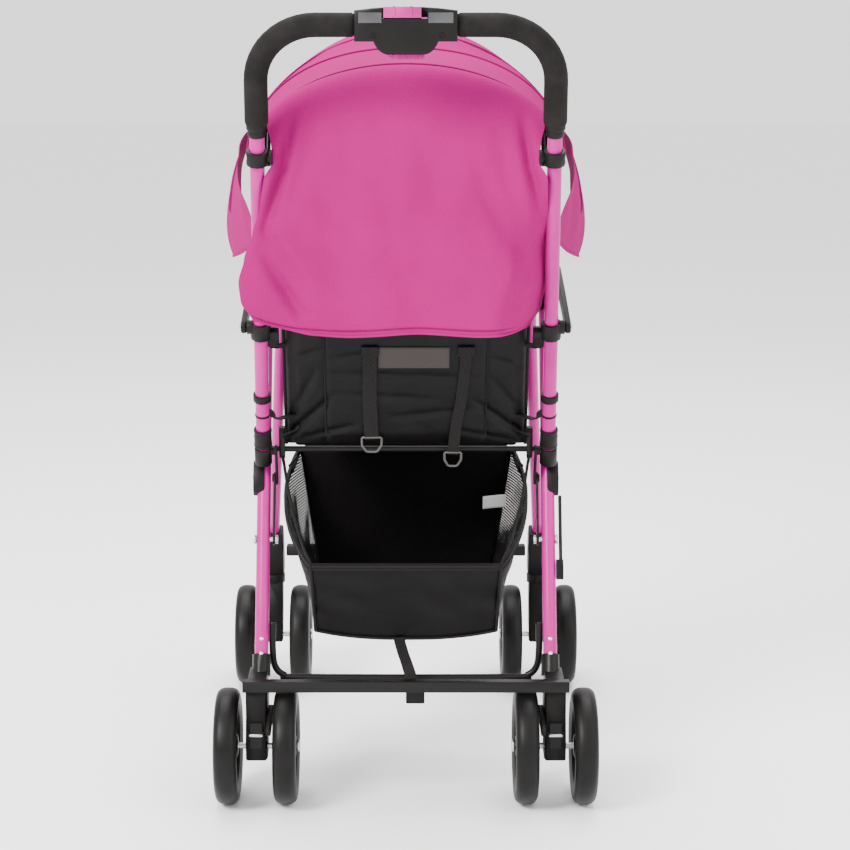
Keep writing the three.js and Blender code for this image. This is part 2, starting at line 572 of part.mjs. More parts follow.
// an open basket between the legs: its rear wall is low and its sides belly out.
// Each wall's plan runs from the rear to the front as [x, y, z] stations.
const BASKET = {
  bottom: [[118, 78, 206], [118, 204, 210], [118, 330, 214]],
  top: [[140, 58, 300], [164, 215, 348], [140, 372, 396]],
  wall: 3,
};
function basketShell(bottom, top) {
  const ring = (stations) => [
    ...stations.map(([x, y, z]) => [x, y, z]),
    ...stations.map(([x, y, z]) => [-x, y, z]).reverse(),
  ];
  const corners = [...ring(bottom), ...ring(top)];
  const count = corners.length / 2;
  const index = [];
  for (let i = 0; i < count; i += 1) {
    const next = (i + 1) % count;
    index.push(i, next, count + next, i, count + next, count + i);
  }
  for (const [a, b, c, d] of [[0, 1, 4, 5], [1, 2, 3, 4]]) {
    index.push(a, c, b, a, d, c);
    index.push(count + a, count + b, count + c, count + a, count + c, count + d);
  }
  const geometry = new THREE.BufferGeometry();
  geometry.setAttribute('position', new THREE.Float32BufferAttribute(corners.flat(), 3));
  geometry.setIndex(index);
  return geometry;
}
function basketInset(stations, floor) {
  const { wall } = BASKET;
  const inward = [wall, 0, -wall];
  return stations.map(([x, y, z], i) => [x - wall, y + inward[i], z + floor]);
}
const basketOuter = basketShell(BASKET.bottom, BASKET.top);
const basketInner = basketShell(basketInset(BASKET.bottom, 3.5), basketInset(BASKET.top, 4));
part('basket', cut(basketOuter, basketInner), BLACK_FABRIC);

export default root;
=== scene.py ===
"""A lightweight pink and black stroller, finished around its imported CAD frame."""
import math

import bpy
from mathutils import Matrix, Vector, noise


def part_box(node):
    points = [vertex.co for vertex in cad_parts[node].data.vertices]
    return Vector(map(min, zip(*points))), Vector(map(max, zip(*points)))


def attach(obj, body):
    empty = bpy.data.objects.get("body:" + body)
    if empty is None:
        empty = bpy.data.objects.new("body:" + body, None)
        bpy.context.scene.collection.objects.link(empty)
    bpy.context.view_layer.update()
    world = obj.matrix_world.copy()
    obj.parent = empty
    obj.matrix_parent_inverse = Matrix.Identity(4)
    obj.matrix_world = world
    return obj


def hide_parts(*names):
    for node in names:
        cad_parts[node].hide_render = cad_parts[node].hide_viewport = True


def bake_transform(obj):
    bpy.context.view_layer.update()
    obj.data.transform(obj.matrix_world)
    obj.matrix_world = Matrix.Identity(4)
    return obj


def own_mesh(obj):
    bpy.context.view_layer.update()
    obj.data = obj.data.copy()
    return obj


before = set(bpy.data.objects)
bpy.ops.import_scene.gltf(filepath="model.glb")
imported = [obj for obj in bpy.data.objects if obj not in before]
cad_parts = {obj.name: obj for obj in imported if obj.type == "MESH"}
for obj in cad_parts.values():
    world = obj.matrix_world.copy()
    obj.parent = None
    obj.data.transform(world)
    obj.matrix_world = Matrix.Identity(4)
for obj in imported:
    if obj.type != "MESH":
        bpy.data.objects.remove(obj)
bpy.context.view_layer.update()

MM = 0.001
AXLE_Y = sum(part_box("rear_axle_left")[i].y for i in (0, 1)) / 2
SIDES = (("right", 1), ("left", -1))


def P(x, y, z):
    """A point in metres from millimetres, y counted from the rear axle."""
    return Vector((x * MM, AXLE_Y + y * MM, z * MM))


def mix(a, b, t):
    """The point a share t of the way from tuple a to tuple b."""
    return tuple(p + (q - p) * t for p, q in zip(a, b))


# ---------- camera, light and floor ----------
CAMERA_PLACE = P(0, -2762, 993)
CAMERA_LENS = 94.4
CAMERA_TILT = 10.2
CAMERA_SHIFT = 0.0225
WORLD_LIGHT = 1.75


def add_camera():
    data = bpy.data.cameras.new("camera")
    data.lens = CAMERA_LENS
    data.sensor_width = 36
    data.shift_x = CAMERA_SHIFT
    data.clip_end = 50
    camera = bpy.data.objects.new("camera", data)
    camera.location = CAMERA_PLACE
    camera.rotation_euler = (math.radians(90 - CAMERA_TILT), 0, 0)
    bpy.context.scene.collection.objects.link(camera)
    bpy.context.scene.camera = camera


def add_area(name, place, target, size, power):
    data = bpy.data.lights.new(name, "AREA")
    data.size = size
    data.energy = power
    light = bpy.data.objects.new(name, data)
    light.location = place
    light.rotation_euler = (Vector(target) - Vector(place)).to_track_quat("-Z", "Y").to_euler()
    bpy.context.scene.collection.objects.link(light)


def add_stage():
    world = bpy.data.worlds.new("studio")
    bpy.context.scene.world = world
    world.use_nodes = True
    sky = world.node_tree.nodes["Background"]
    sky.inputs["Color"].default_value = (1, 1, 1, 1)
    sky.inputs["Strength"].default_value = WORLD_LIGHT
    add_area("key", (-2.0, -2.4, 2.6), (0, 0, 0.6), 1.3, 230)
    add_area("fill", (2.2, -1.8, 1.8), (0, 0, 0.5), 2.4, 46)
    add_area("top", (0, 0.8, 3.4), (0, 0, 0.3), 2.6, 170)
    bpy.ops.mesh.primitive_plane_add(size=40, location=(0, 0, 0))
    floor = bpy.context.object
    floor.name = "floor"
    material = bpy.data.materials.new("floor")
    material.use_nodes = True
    shader = material.node_tree.nodes["Principled BSDF"]
    shader.inputs["Base Color"].default_value = (0.95, 0.95, 0.95, 1)
    shader.inputs["Roughness"].default_value = 0.6
    floor.data.materials.append(material)


# ---------- materials ----------
class Nodes:
    """A short way to write a material's node tree."""

    def __init__(self, name, roughness, metallic=0.0):
        self.material = bpy.data.materials.new(name)
        self.material.use_nodes = True
        self.tree = self.material.node_tree
        self.shader = self.tree.nodes["Principled BSDF"]
        self.shader.inputs["Roughness"].default_value = roughness
        self.shader.inputs["Metallic"].default_value = metallic
        self.shader.inputs["Specular IOR Level"].default_value = 0.16
        self.place = self.add("ShaderNodeTexCoord").outputs["Object"]

    def add(self, kind, **settings):
        node = self.tree.nodes.new(kind)
        for key, value in settings.items():
            setattr(node, key, value)
        return node

    def link(self, source, target):
        self.tree.links.new(source, target)

    def stretched(self, x, y, z):
        mapping = self.add("ShaderNodeMapping")
        mapping.inputs["Scale"].default_value = (x, y, z)
        self.link(self.place, mapping.inputs["Vector"])
        return mapping.outputs["Vector"]

    def noise(self, scale, detail=3.0, vector=None):
        node = self.add("ShaderNodeTexNoise")
        node.inputs["Scale"].default_value = scale
        node.inputs["Detail"].default_value = detail
        self.link(vector or self.place, node.inputs["Vector"])
        return node.outputs["Fac"]

    def wave(self, scale, direction, distortion=0.0):
        node = self.add("ShaderNodeTexWave", bands_direction=direction)
        node.inputs["Scale"].default_value = scale
        node.inputs["Distortion"].default_value = distortion
        self.link(self.place, node.inputs["Vector"])
        return node.outputs["Fac"]

    def math(self, operation, a, b):
        node = self.add("ShaderNodeMath", operation=operation)
        for socket, value in zip(node.inputs, (a, b)):
            if isinstance(value, (int, float)):
                socket.default_value = value
            else:
                self.link(value, socket)
        return node.outputs["Value"]

    def ramp(self, source, stops):
        node = self.add("ShaderNodeValToRGB")
        elements = node.color_ramp.elements
        while len(elements) < len(stops):
            elements.new(0.5)
        for element, (where, colour) in zip(elements, stops):
            element.position = where
            element.color = (*colour, 1)
        self.link(source, node.inputs["Fac"])
        return node.outputs["Color"]

    def colour(self, source, low, high, spread=(0.3, 0.7)):
        self.link(self.ramp(source, [(spread[0], low), (spread[1], high)]), self.shader.inputs["Base Color"])

    def roughness(self, source, low, high):
        node = self.add("ShaderNodeMapRange")
        node.inputs["To Min"].default_value = low
        node.inputs["To Max"].default_value = high
        self.link(source, node.inputs["Value"])
        self.link(node.outputs["Result"], self.shader.inputs["Roughness"])

    def bump(self, source, strength, distance):
        node = self.add("ShaderNodeBump")
        node.inputs["Strength"].default_value = strength
        node.inputs["Distance"].default_value = distance
        self.link(source, node.inputs["Height"])
        self.link(node.outputs["Normal"], self.shader.inputs["Normal"])


def shade(colour, factor):
    return tuple(min(1.0, c * factor) for c in colour)


def cloth_material(name, colour, thread=1500, crease=0.35, sheen=0.0):
    """Plain-weave cloth: crossed threads, small creases and slow colour drift."""
    n = Nodes(name, 0.85)
    drift = n.noise(5, 4)
    fleck = n.noise(900, 2)
    tone = n.math("ADD", n.math("MULTIPLY", drift, 0.75), n.math("MULTIPLY", fleck, 0.25))
    n.colour(tone, shade(colour, 0.86), shade(colour, 1.1))
    across = n.wave(thread / 20, "X", 0.4)
    along = n.wave(thread / 20, "Z", 0.4)
    weave = n.math("MULTIPLY", n.math("ADD", across, along), 0.12)
    creases = n.math("MULTIPLY", n.noise(38, 5), crease)
    n.bump(n.math("ADD", weave, creases), 0.35, 0.0012)
    n.roughness(drift, 0.78, 0.92)
    n.shader.inputs["Sheen Weight"].default_value = sheen
    n.shader.inputs["Sheen Roughness"].default_value = 0.5
    n.shader.inputs["Specular IOR Level"].default_value = 0.05
    return n.material


def nylon_material(name, colour):
    """Thin coated nylon: crumpled, with soft painted highlights along its creases, where the colour lightens
    on the raised folds.
    """
    n = Nodes(name, 0.5)
    crumple = n.noise(24, 5)
    folds = n.noise(9, 3, n.stretched(1, 1, 0.5))
    height = n.math("ADD", n.math("MULTIPLY", crumple, 0.6), folds)
    # painted highlight: the colour runs lighter where the fold noise lifts the cloth
    n.colour(folds, shade(colour, 0.8), shade(colour, 1.5))
    n.bump(height, 0.7, 0.006)
    n.roughness(crumple, 0.42, 0.62)
    n.shader.inputs["Specular IOR Level"].default_value = 0.14
    return n.material


def paint_material(name, colour, low=0.24, high=0.36):
    """Powder coat: faint orange peel, scuffs that are duller and paler."""
    n = Nodes(name, low)
    scuff = n.noise(60, 6, n.stretched(1, 1, 0.25))
    n.colour(scuff, shade(colour, 0.93), shade(colour, 1.08), (0.35, 0.72))
    n.roughness(scuff, low, high)
    n.bump(n.noise(420, 2), 0.06, 0.0006)
    n.shader.inputs["Coat Weight"].default_value = 0.06
    n.shader.inputs["Coat Roughness"].default_value = 0.12
    return n.material


def plastic_material(name, colour, low=0.42, high=0.6, grain=700, depth=0.12):
    """Moulded plastic with a fine spark-eroded grain and rubbed patches."""
    n = Nodes(name, low)
    rub = n.noise(32, 5)
    n.colour(rub, shade(colour, 0.8), shade(colour, 1.35))
    n.roughness(rub, low, high)
    n.bump(n.noise(grain, 3), depth, 0.0005)
    return n.material


def foam_material():
    n = Nodes("grip_foam", 0.9)
    cells = n.noise(1400, 4)
    n.colour(n.noise(45, 5), (0.005, 0.0042, 0.004), (0.011, 0.0095, 0.009))
    n.bump(cells, 0.5, 0.0006)
    n.roughness(cells, 0.82, 0.96)
    return n.material


def rubber_material():
    n = Nodes("wheel_rubber", 0.62)
    dust = n.noise(26, 6)
    n.colour(dust, (0.0016, 0.0014, 0.0012), (0.005, 0.0044, 0.004), (0.35, 0.75))
    n.roughness(dust, 0.34, 0.55)
    n.bump(n.noise(520, 4), 0.1, 0.0005)
    return n.material


def steel_material():
    n = Nodes("bright_steel", 0.28, 1.0)
    brushed = n.noise(90, 5, n.stretched(1, 14, 14))
    n.colour(brushed, (0.42, 0.42, 0.43), (0.7, 0.7, 0.71))
    n.roughness(brushed, 0.2, 0.42)
    n.bump(brushed, 0.08, 0.0003)
    return n.material


def webbing_material():
    """Flat webbing: a fine twill whose ribs cross at a slant."""
    n = Nodes("black_webbing", 0.75)
    slant = n.wave(190, "DIAGONAL", 0.6)
    cross = n.wave(260, "Z", 0.2)
    weave = n.math("ADD", n.math("MULTIPLY", slant, 0.6), n.math("MULTIPLY", cross, 0.4))
    n.colour(weave, (0.003, 0.0026, 0.0026), (0.012, 0.0105, 0.01))
    n.bump(weave, 0.6, 0.0007)
    return n.material


NET_PITCH = 0.0034


def mesh_material():
    """Open net: round holes in a black knit, so that light passes through."""
    n = Nodes("black_mesh", 0.8)
    place = n.add("ShaderNodeSeparateXYZ")
    n.link(n.place, place.inputs["Vector"])
    ripples = []
    for axis in ("Y", "Z"):
        turns = n.math("MULTIPLY", place.outputs[axis], math.pi / NET_PITCH)
        ripples.append(n.math("SINE", turns, 0.0))
    weave = n.math("ABSOLUTE", n.math("MULTIPLY", *ripples), 0.0)
    holes = n.math("LESS_THAN", weave, 0.7)
    n.colour(n.noise(300), (0.0025, 0.0022, 0.0022), (0.009, 0.008, 0.0078))
    n.link(holes, n.shader.inputs["Alpha"])
    n.bump(weave, 0.3, 0.0006)
    return n.material


PINK = (0.27, 0.0012, 0.105)
PAINT_PINK = (0.4, 0.002, 0.19)
LOOKS = {
    "pink_paint": paint_material("pink_paint", PAINT_PINK),
    "black_plastic": plastic_material("black_plastic", (0.0032, 0.0026, 0.0023)),
    "grip_foam": foam_material(),
    "pink_plastic": plastic_material("pink_plastic", (0.36, 0.012, 0.16), 0.3, 0.42, 500, 0.06),
    "bright_steel": steel_material(),
    "black_steel": paint_material("black_steel", (0.003, 0.0025, 0.0022), 0.36, 0.52),
    "grey_steel": paint_material("grey_steel", (0.07, 0.066, 0.064), 0.34, 0.46),
    "pink_fabric": cloth_material("pink_fabric", PINK),
    "black_fabric": cloth_material("black_fabric", (0.004, 0.0034, 0.0034), 1300, 0.5),
    "wheel_rubber": rubber_material(),
    "nylon": nylon_material("black_nylon", (0.0016, 0.0012, 0.0012)),
    "webbing": webbing_material(),
    "net": mesh_material(),
    "grey_plastic": plastic_material("grey_plastic", (0.05, 0.05, 0.052), 0.3, 0.4),
    "tag": cloth_material("white_tag", (0.75, 0.75, 0.74), 2400, 0.1),
    "label": cloth_material("grey_label", (0.05, 0.043, 0.042), 2400, 0.1),
    "thread": cloth_material("pink_thread", shade(PINK, 0.62), 3000, 0.2),
}


# ---------- building pieces ----------
def piece(name, verts, faces, look, body, replaces=()):
    """A mesh of its own, with its look and the body that carries it."""
    mesh = bpy.data.meshes.new(name)
    mesh.from_pydata([tuple(v) for v in verts], [], faces)
    mesh.update()
    mesh.shade_smooth()
    obj = bpy.data.objects.new(name, mesh)
    bpy.context.scene.collection.objects.link(obj)
    return dress(obj, look, body, replaces)


def dress(obj, look, body, replaces=()):
    obj.data.materials.clear()
    obj.data.materials.append(LOOKS[look])
    if body:
        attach(obj, body)
    if replaces:
        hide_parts(*replaces)
    return obj


def smooth_path(points, per_span=8):
    """A Catmull-Rom curve through the points, as a list of Vectors."""
    points = [Vector(p) for p in points]
    ends = [points[0] * 2 - points[1], *points, points[-1] * 2 - points[-2]]
    path = []
    for a, b, c, d in zip(ends, ends[1:], ends[2:], ends[3:]):
        for i in range(per_span):
            t = i / per_span
            path.append(0.5 * (2 * b + (c - a) * t + (2 * a - 5 * b + 4 * c - d) * t * t
                               + (3 * b - a - 3 * c + d) * t ** 3))
    path.append(points[-1])
    return path


def frames_along(path, up=None):
    """A tangent and two crossing directions at each point of a path."""
    frames = []
    side = None
    for i, point in enumerate(path):
        tangent = (path[min(i + 1, len(path) - 1)] - path[max(i - 1, 0)]).normalized()
        if up is not None:
            side = tangent.cross(Vector(up)).normalized()
        elif side is None:
            side = tangent.orthogonal().normalized()
        else:
            side = (side - tangent * side.dot(tangent)).normalized()
        frames.append((point, tangent, side, tangent.cross(side).normalized()))
    return frames


def sweep(name, path, section, look, body, replaces=(), up=None, scales=None):
    """A closed section of (side, up) offsets carried along a path, with flat ends."""
    count = len(section)
    verts = []
    for i, (point, _, side, top) in enumerate(frames_along(path, up)):
        k = scales[i] if scales else 1.0
        verts += [point + side * (u * k) + top * (v * k) for u, v in section]
    faces = []
    for i in range(len(path) - 1):
        for j in range(count):
            a, b = i * count + j, i * count + (j + 1) % count
            faces.append((a, b, b + count, a + count))
    faces.append(tuple(reversed(range(count))))
    faces.append(tuple(range((len(path) - 1) * count, len(path) * count)))
    obj = piece(name, verts, faces, look, body, replaces)
    sharpen(obj)
    return obj


def sharpen(obj, angle=42):
    """Keeps hard edges crisp on a smooth-shaded mesh."""
    obj.data.set_sharp_from_angle(angle=math.radians(angle))


def circle(radius, sides=24):
    return [(radius * math.cos(2 * math.pi * i / sides), radius * math.sin(2 * math.pi * i / sides))
            for i in range(sides)]


def strap_section(width, thick):
    w, t, r = width / 2, thick / 2, thick * 0.35
    return [(-w, -t + r), (-w + r, -t), (w - r, -t), (w, -t + r),
            (w, t - r), (w - r, t), (-w + r, t), (-w, t - r)]


def tube(name, path, radius, look, body, replaces=(), sides=24):
    """A round bar with softly rounded ends."""
    ends = [0.88, 0.95, 0.99]
    first, last = path[0], path[-1]
    start_dir = (path[1] - first).normalized()
    end_dir = (path[-2] - last).normalized()
    lead = [first + start_dir * (radius * 0.12 * i) for i in range(3)]
    tail = [last + end_dir * (radius * 0.12 * i) for i in reversed(range(3))]
    middle = path[1:-1]
    scales = ends + [1.0] * len(middle) + list(reversed(ends))
    return sweep(name, lead + middle + tail, circle(radius, sides), look, body, replaces, scales=scales)


def line(a, b, steps=2):
    return [a.lerp(b, i / steps) for i in range(steps + 1)]


def turned(name, profile, origin, axis, look, body, replaces=(), sides=48):
    """A lathe shape: (radius, height) pairs round an axis through origin."""
    axis = Vector(axis).normalized()
    side = axis.orthogonal().normalized()
    top = axis.cross(side)
    count = len(profile)
    verts, faces = [], []
    for i in range(sides):
        angle = 2 * math.pi * i / sides
        out = side * math.cos(angle) + top * math.sin(angle)
        verts += [origin + out * r + axis * h for r, h in profile]
    for i in range(sides):
        for j in range(count):
            a, b = i * count + j, i * count + (j + 1) % count
            c, d = ((i + 1) % sides) * count + (j + 1) % count, ((i + 1) % sides) * count + j
            faces.append((a, b, c, d))
    obj = piece(name, verts, faces, look, body, replaces)
    sharpen(obj, 35)
    return obj


def in_metres(profile):
    return [(radius * MM, height * MM) for radius, height in profile]


def ring_profile(inner, outer, low, high, soft):
    """The lathe profile of a ring with rounded edges."""
    half, small = soft * 0.5, soft * 0.3
    foot = [(inner, low + half), (inner + half, low), (outer - soft, low), (outer - small, low + small)]
    wall = [(outer, low + soft), (outer, high - soft)]
    crown = [(outer - small, high - small), (outer - soft, high), (inner + half, high), (inner, high - half)]
    return foot + wall + crown


def soften(obj, width, segments=3, angle=30):
    modifier = obj.modifiers.new("soft_edges", "BEVEL")
    modifier.width = width
    modifier.segments = segments
    modifier.limit_method = "ANGLE"
    modifier.angle_limit = math.radians(angle)
    modifier.harden_normals = True
    return obj


def plate(name, outline, x0, x1, look, body, replaces=(), edge=1.0):
    """A side-view outline of (y, z) in millimetres, x0 to x1 thick, with soft edges."""
    low, high = min(x0, x1), max(x0, x1)
    count = len(outline)
    verts = [P(x, y, z) for x in (low, high) for y, z in outline]
    area = sum(a[0] * b[1] - b[0] * a[1] for a, b in zip(outline, outline[1:] + outline[:1]))
    ring = list(range(count)) if area > 0 else list(reversed(range(count)))
    faces = [tuple(reversed(ring)), tuple(i + count for i in ring)]
    for i, j in zip(ring, ring[1:] + ring[:1]):
        faces.append((i, j, j + count, i + count))
    obj = piece(name, verts, faces, look, body, replaces)
    sharpen(obj, 30)
    return soften(obj, edge * MM)


def brick(name, low, high, look, body, replaces=(), edge=1.5):
    (x0, y0, z0), (x1, y1, z1) = low, high
    return plate(name, [(y0, z0), (y1, z0), (y1, z1), (y0, z1)], x0, x1, look, body, replaces, edge)


def grid_piece(name, rows, look, body, thick=0.0, replaces=(), subdivide=0):
    """A sheet from rows of points; thick in metres makes it a closed thin shell."""
    columns = len(rows[0])
    verts = [v for row in rows for v in row]
    faces = []
    for r in range(len(rows) - 1):
        for c in range(columns - 1):
            a = r * columns + c
            faces.append((a, a + 1, a + columns + 1, a + columns))
    obj = piece(name, verts, faces, look, body, replaces)
    if thick:
        shell = obj.modifiers.new("thickness", "SOLIDIFY")
        shell.thickness = thick
        shell.offset = 0
    if subdivide:
        finer = obj.modifiers.new("smooth", "SUBSURF")
        finer.levels = finer.render_levels = subdivide
    return obj


# ---------- lines of the frame, millimetres in the side view ----------
HUB = (245, 657)
LINK_PIVOT = (104.8, 324)
HANDLE_PIVOT = (136.8, 400)
HANDLE_TOP = (-127, 992)
CANOPY_HUB = (-30, 830)
SEAT_HINGE = (150, 437)
LEG_X = 188
FRONT_LEG_X = 167
FRONT_LEG_FOOT = (201, 553, 215)
LEG_RADIUS = 9
FRONT_LEG_RADIUS = 8
BRACE_RADIUS = 4.5
BOW_RADIUS = 3
GRIP_RADIUS = 14.3
HANDLE_LENGTH = math.hypot(HANDLE_TOP[0] - HANDLE_PIVOT[0], HANDLE_TOP[1] - HANDLE_PIVOT[1])


def on_rear_leg(z):
    return ((z - 75) * HUB[0] / (HUB[1] - 75), z)


def on_handle(s):
    return mix(HANDLE_PIVOT, HANDLE_TOP, s / HANDLE_LENGTH)


def handle_x(s):
    return LEG_X - 9 / 474 * max(0, s - 28)


def handle_point(s, sign=1):
    return P(sign * handle_x(s), *on_handle(s))


def handle_run(start, end_x, sign=1):
    """Points up one side of the handle, round its corner and in to end_x."""
    bend = 72
    corner = HANDLE_LENGTH - bend
    points = [handle_point(start + (corner - start) * i / 12, sign) for i in range(12)]
    for i in range(13):
        angle = math.pi / 2 * i / 12
        x = handle_x(corner) - bend * (1 - math.cos(angle))
        points.append(P(sign * x, *on_handle(corner + bend * math.sin(angle))))
    points.append(P(sign * end_x, *HANDLE_TOP))
    return points


# ---------- metal frame ----------
def make_frame_tubes():
    right = handle_run(28, 30)
    left = [Vector((-p.x, p.y, p.z)) for p in reversed(right)]
    tube("handle_bar", right + left, LEG_RADIUS * MM, "pink_paint", "handle", ["handle_tube"], 32)
    for side, s in SIDES:
        leg = line(P(s * LEG_X, *on_rear_leg(166)), P(s * LEG_X, *on_rear_leg(648)), 6)
        tube(f"rear_tube_{side}", leg, LEG_RADIUS * MM, "pink_paint", "rear_frame", [f"rear_leg_{side}"], 32)
        top = P(s * FRONT_LEG_X, *HUB)
        foot_x, *foot = FRONT_LEG_FOOT
        tube(f"front_tube_{side}", line(top, P(s * foot_x, *foot), 6), FRONT_LEG_RADIUS * MM, "pink_paint",
             "front_frame", [f"front_leg_{side}"], 32)
        knuckle = [(5.4, -7.6), (13, -7.6), (14, -6.6), (14, 6.6), (13, 7.6), (5.4, 7.6)]
        turned(f"front_knuckle_{side}", in_metres(knuckle), top, (1, 0, 0), "black_plastic", "front_frame")
    hoop = [(174.2, on_rear_leg(222)[0] + 2, 222), (174.2, 56, 188), (171.2, 56, 165),
            (159.2, 56, 153), (136.2, 56, 150)]
    points = [P(*p) for p in hoop] + [P(-x, y, z) for x, y, z in reversed(hoop)]
    tube("brace_wire", smooth_path(points, 10), BRACE_RADIUS * MM, "black_steel", "rear_frame",
         ["brace_hoop"], 20)
    make_bow("rear_bow", "canopy_rear_bow", "handle", (0, 940), 180, 2.05, 168)
    make_bow("middle_bow", "canopy_mid_bow", "canopy_mid", (90, 958), 182, 2.2, 174.6)
    make_bow("front_bow", "canopy_front_bow", "canopy_front", (214, 979), 174, 2.0, 182)


def arch_point(angle, apex, base, half, power):
    """A point of an arch between two feet at the base, in millimetres; a higher power is squarer."""
    across = math.copysign(abs(math.cos(angle)) ** (2 / power), math.cos(angle))
    rise = abs(math.sin(angle)) ** (2 / power)
    y, z = mix(base, apex, rise)
    return (half * across, y, z)


def make_bow(name, node, body, apex, half, power, knuckle_x):
    """A wire bow with a knuckle at each end, turning about the canopy hub."""
    length = math.hypot(apex[0] - CANOPY_HUB[0], apex[1] - CANOPY_HUB[1])
    neck = mix(CANOPY_HUB, apex, 14 / length)
    points = [P(knuckle_x, *CANOPY_HUB), P(knuckle_x, *neck)]
    points += [P(*arch_point(math.pi * i / 24, apex, CANOPY_HUB, half, power)) for i in range(3, 22)]
    points += [P(-knuckle_x, *neck), P(-knuckle_x, *CANOPY_HUB)]
    tube(name, smooth_path(points, 4), BOW_RADIUS * MM, "black_steel", body, [node], 16)
    profile = in_metres([(2.8, -3), (7.4, -3), (8, -2.4), (8, 2.4), (7.4, 3), (2.8, 3)])
    for side, s in SIDES:
        turned(f"{name}_knuckle_{side}", profile, P(s * knuckle_x, *CANOPY_HUB), (1, 0, 0),
               "black_plastic", body, sides=24)


# ---------- grips, collars, bolts ----------
def make_grips():
    for side, s in SIDES:
        path = handle_run(520, 60.4, s)
        tube(f"foam_{side}", path, GRIP_RADIUS * MM, "grip_foam", "handle", [f"handle_grip_{side}"], 36)
        collar(f"grip_ring_{side}", 514, 521, 12.6, s, "handle", "black_plastic")
        collar(f"grip_lip_{side}", 505, 514, 10.9, s, "handle", "black_plastic")


def collar(name, s0, s1, outer, sign, body, look, inner=9.1, soft=0.9, replaces=()):
    """A ring on the handle tube from s0 to s1 along it."""
    base = handle_point(s0, sign)
    axis = handle_point(s1, sign) - base
    profile = ring_profile(inner * MM, outer * MM, 0, axis.length, soft * MM)
    return turned(name, profile, base, axis, look, body, replaces)


def head(name, x, at, radius, out, body, look="bright_steel", deep=2.4, slot=True):
    """A button-head bolt facing out along +X or -X, with a hexagon socket."""
    socket = radius * 0.42 if slot else 0.4
    profile = [(0.0, deep * 0.35), (socket, deep * 0.35), (socket, deep * 0.95), (radius * 0.6, deep),
               (radius * 0.88, deep * 0.7), (radius, deep * 0.25), (radius, -1.5), (0.0, -1.5)]
    return turned(name, in_metres(profile), P(x, *at), (out, 0, 0), look, body, sides=24)


def make_joints():
    for side, s in SIDES:
        # hub where the rear leg, the front leg and the armrest meet
        profile = ring_profile(0.2 * MM, 19 * MM, 180 * MM, 201 * MM, 2.4 * MM)
        turned(f"hub_disc_{side}", profile, P(0, *HUB), (s, 0, 0), "black_plastic", "rear_frame",
               [f"leg_hub_{side}"], 40)
        head(f"hub_bolt_{side}", s * 200.2, HUB, 6.5, s, "rear_frame", deep=2)
        ring = ring_profile(9.05 * MM, 12.5 * MM, 0, 44 * MM, 1.2 * MM)
        low = P(s * LEG_X, *on_rear_leg(612))
        turned(f"hub_sleeve_{side}", ring, low, P(s * LEG_X, *HUB) - low, "black_plastic", "rear_frame")
        pin = [(0.2, 158), (4.4, 158), (5, 158.8), (5, 182), (0.2, 182)]
        turned(f"hub_pin_{side}", in_metres(pin), P(0, *HUB), (s, 0, 0), "bright_steel", "rear_frame",
               sides=24)
        # lock collar with a rib at each end and a side bolt
        collar(f"collar_{side}", 52.2, 79.8, 11.6, s, "lock_collars", "black_plastic", 9.5,
               replaces=[f"lock_collar_{side}"])
        collar(f"collar_rib_low_{side}", 53, 57, 12, s, "lock_collars", "black_plastic", 9.5)
        collar(f"collar_rib_high_{side}", 75, 79, 12, s, "lock_collars", "black_plastic", 9.5)
        screw_x = s * (handle_x(66) + 11.2)
        head(f"collar_screw_{side}", screw_x, on_handle(66), 3.2, s, "lock_collars", deep=1.2)
        # small rings above the collar
        for name, s0, s1, outer in (("c_ring", 124, 134, 11.6), ("wear_ring", 100, 103, 9.8)):
            collar(f"{name}_{side}", s0, s1, outer, s, "handle", "black_plastic", soft=0.6)
        head(f"clip_screw_{side}", s * (handle_x(476) + 12.6), on_handle(476), 3.4, s, "handle", deep=1.2)
        head(f"armrest_bolt_{side}", s * 209.8, (41.2, 614.7), 4.8, s, "handle", deep=1.2)
        head(f"clamp_bolt_{side}", s * 201.5, on_rear_leg(400), 4.8, s, "rear_frame", deep=1.8)
        rivet = in_metres([(0.2, 1.1), (1.6, 0.9), (2.6, 0.2), (2.8, -0.6), (0.2, -0.6)])
        for i, (z, face) in enumerate(((188, 11.8), (205, 9.1))):
            place = P(s * LEG_X, on_rear_leg(z)[0] - face, z)
            turned(f"rivet_{side}_{i}", rivet, place, (0, -1, 0.4), "bright_steel", "rear_frame", sides=20)


def keep_cad_parts():
    """CAD solids that stay: their finish, and softened edges."""
    looks = {
        "handle_housing": ("black_plastic", 1.2), "squeeze_trigger": ("pink_plastic", 1.6),
        "safety_slider": ("pink_plastic", 1.2), "rear_crossbar": ("black_steel", 3.0),
        "seat_rod": ("black_steel", 0.8), "footrest": ("black_plastic", 1.5),
        "storage_latch": ("black_plastic", 0.8),
    }
    doubled = {
        "link_bolt": ("bright_steel", 0.6), "leg_clamp": ("black_plastic", 1.2),
        "rear_axle": ("bright_steel", 0.6), "front_axle": ("bright_steel", 0.6),
        "rear_wheel_housing": ("black_plastic", 1.6), "front_wheel_housing": ("black_plastic", 1.8),
        "caster_fork": ("black_plastic", 1.6), "fold_link": ("black_steel", 0.5),
        "handle_foot": ("black_plastic", 0.8), "armrest_saddle": ("black_plastic", 1.2),
        "canopy_clip": ("black_plastic", 0.8), "armrest": ("black_plastic", 2.0),
        "brake_lever": ("black_plastic", 0.9),
    }
    for node, setting in doubled.items():
        for side, _ in SIDES:
            looks[f"{node}_{side}"] = setting
    for node, (look, edge) in looks.items():
        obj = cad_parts[node]
        obj.data.materials.clear()
        obj.data.materials.append(LOOKS[look])
        for polygon in obj.data.polygons:
            polygon.use_smooth = True
        weld = obj.modifiers.new("weld", "WELD")
        weld.merge_threshold = 0.00002
        soften(obj, edge * MM, 3, 34)


# ---------- wheels ----------
TREAD_BASE = 61
TREAD_CROWN = 14
SPOKES = 6


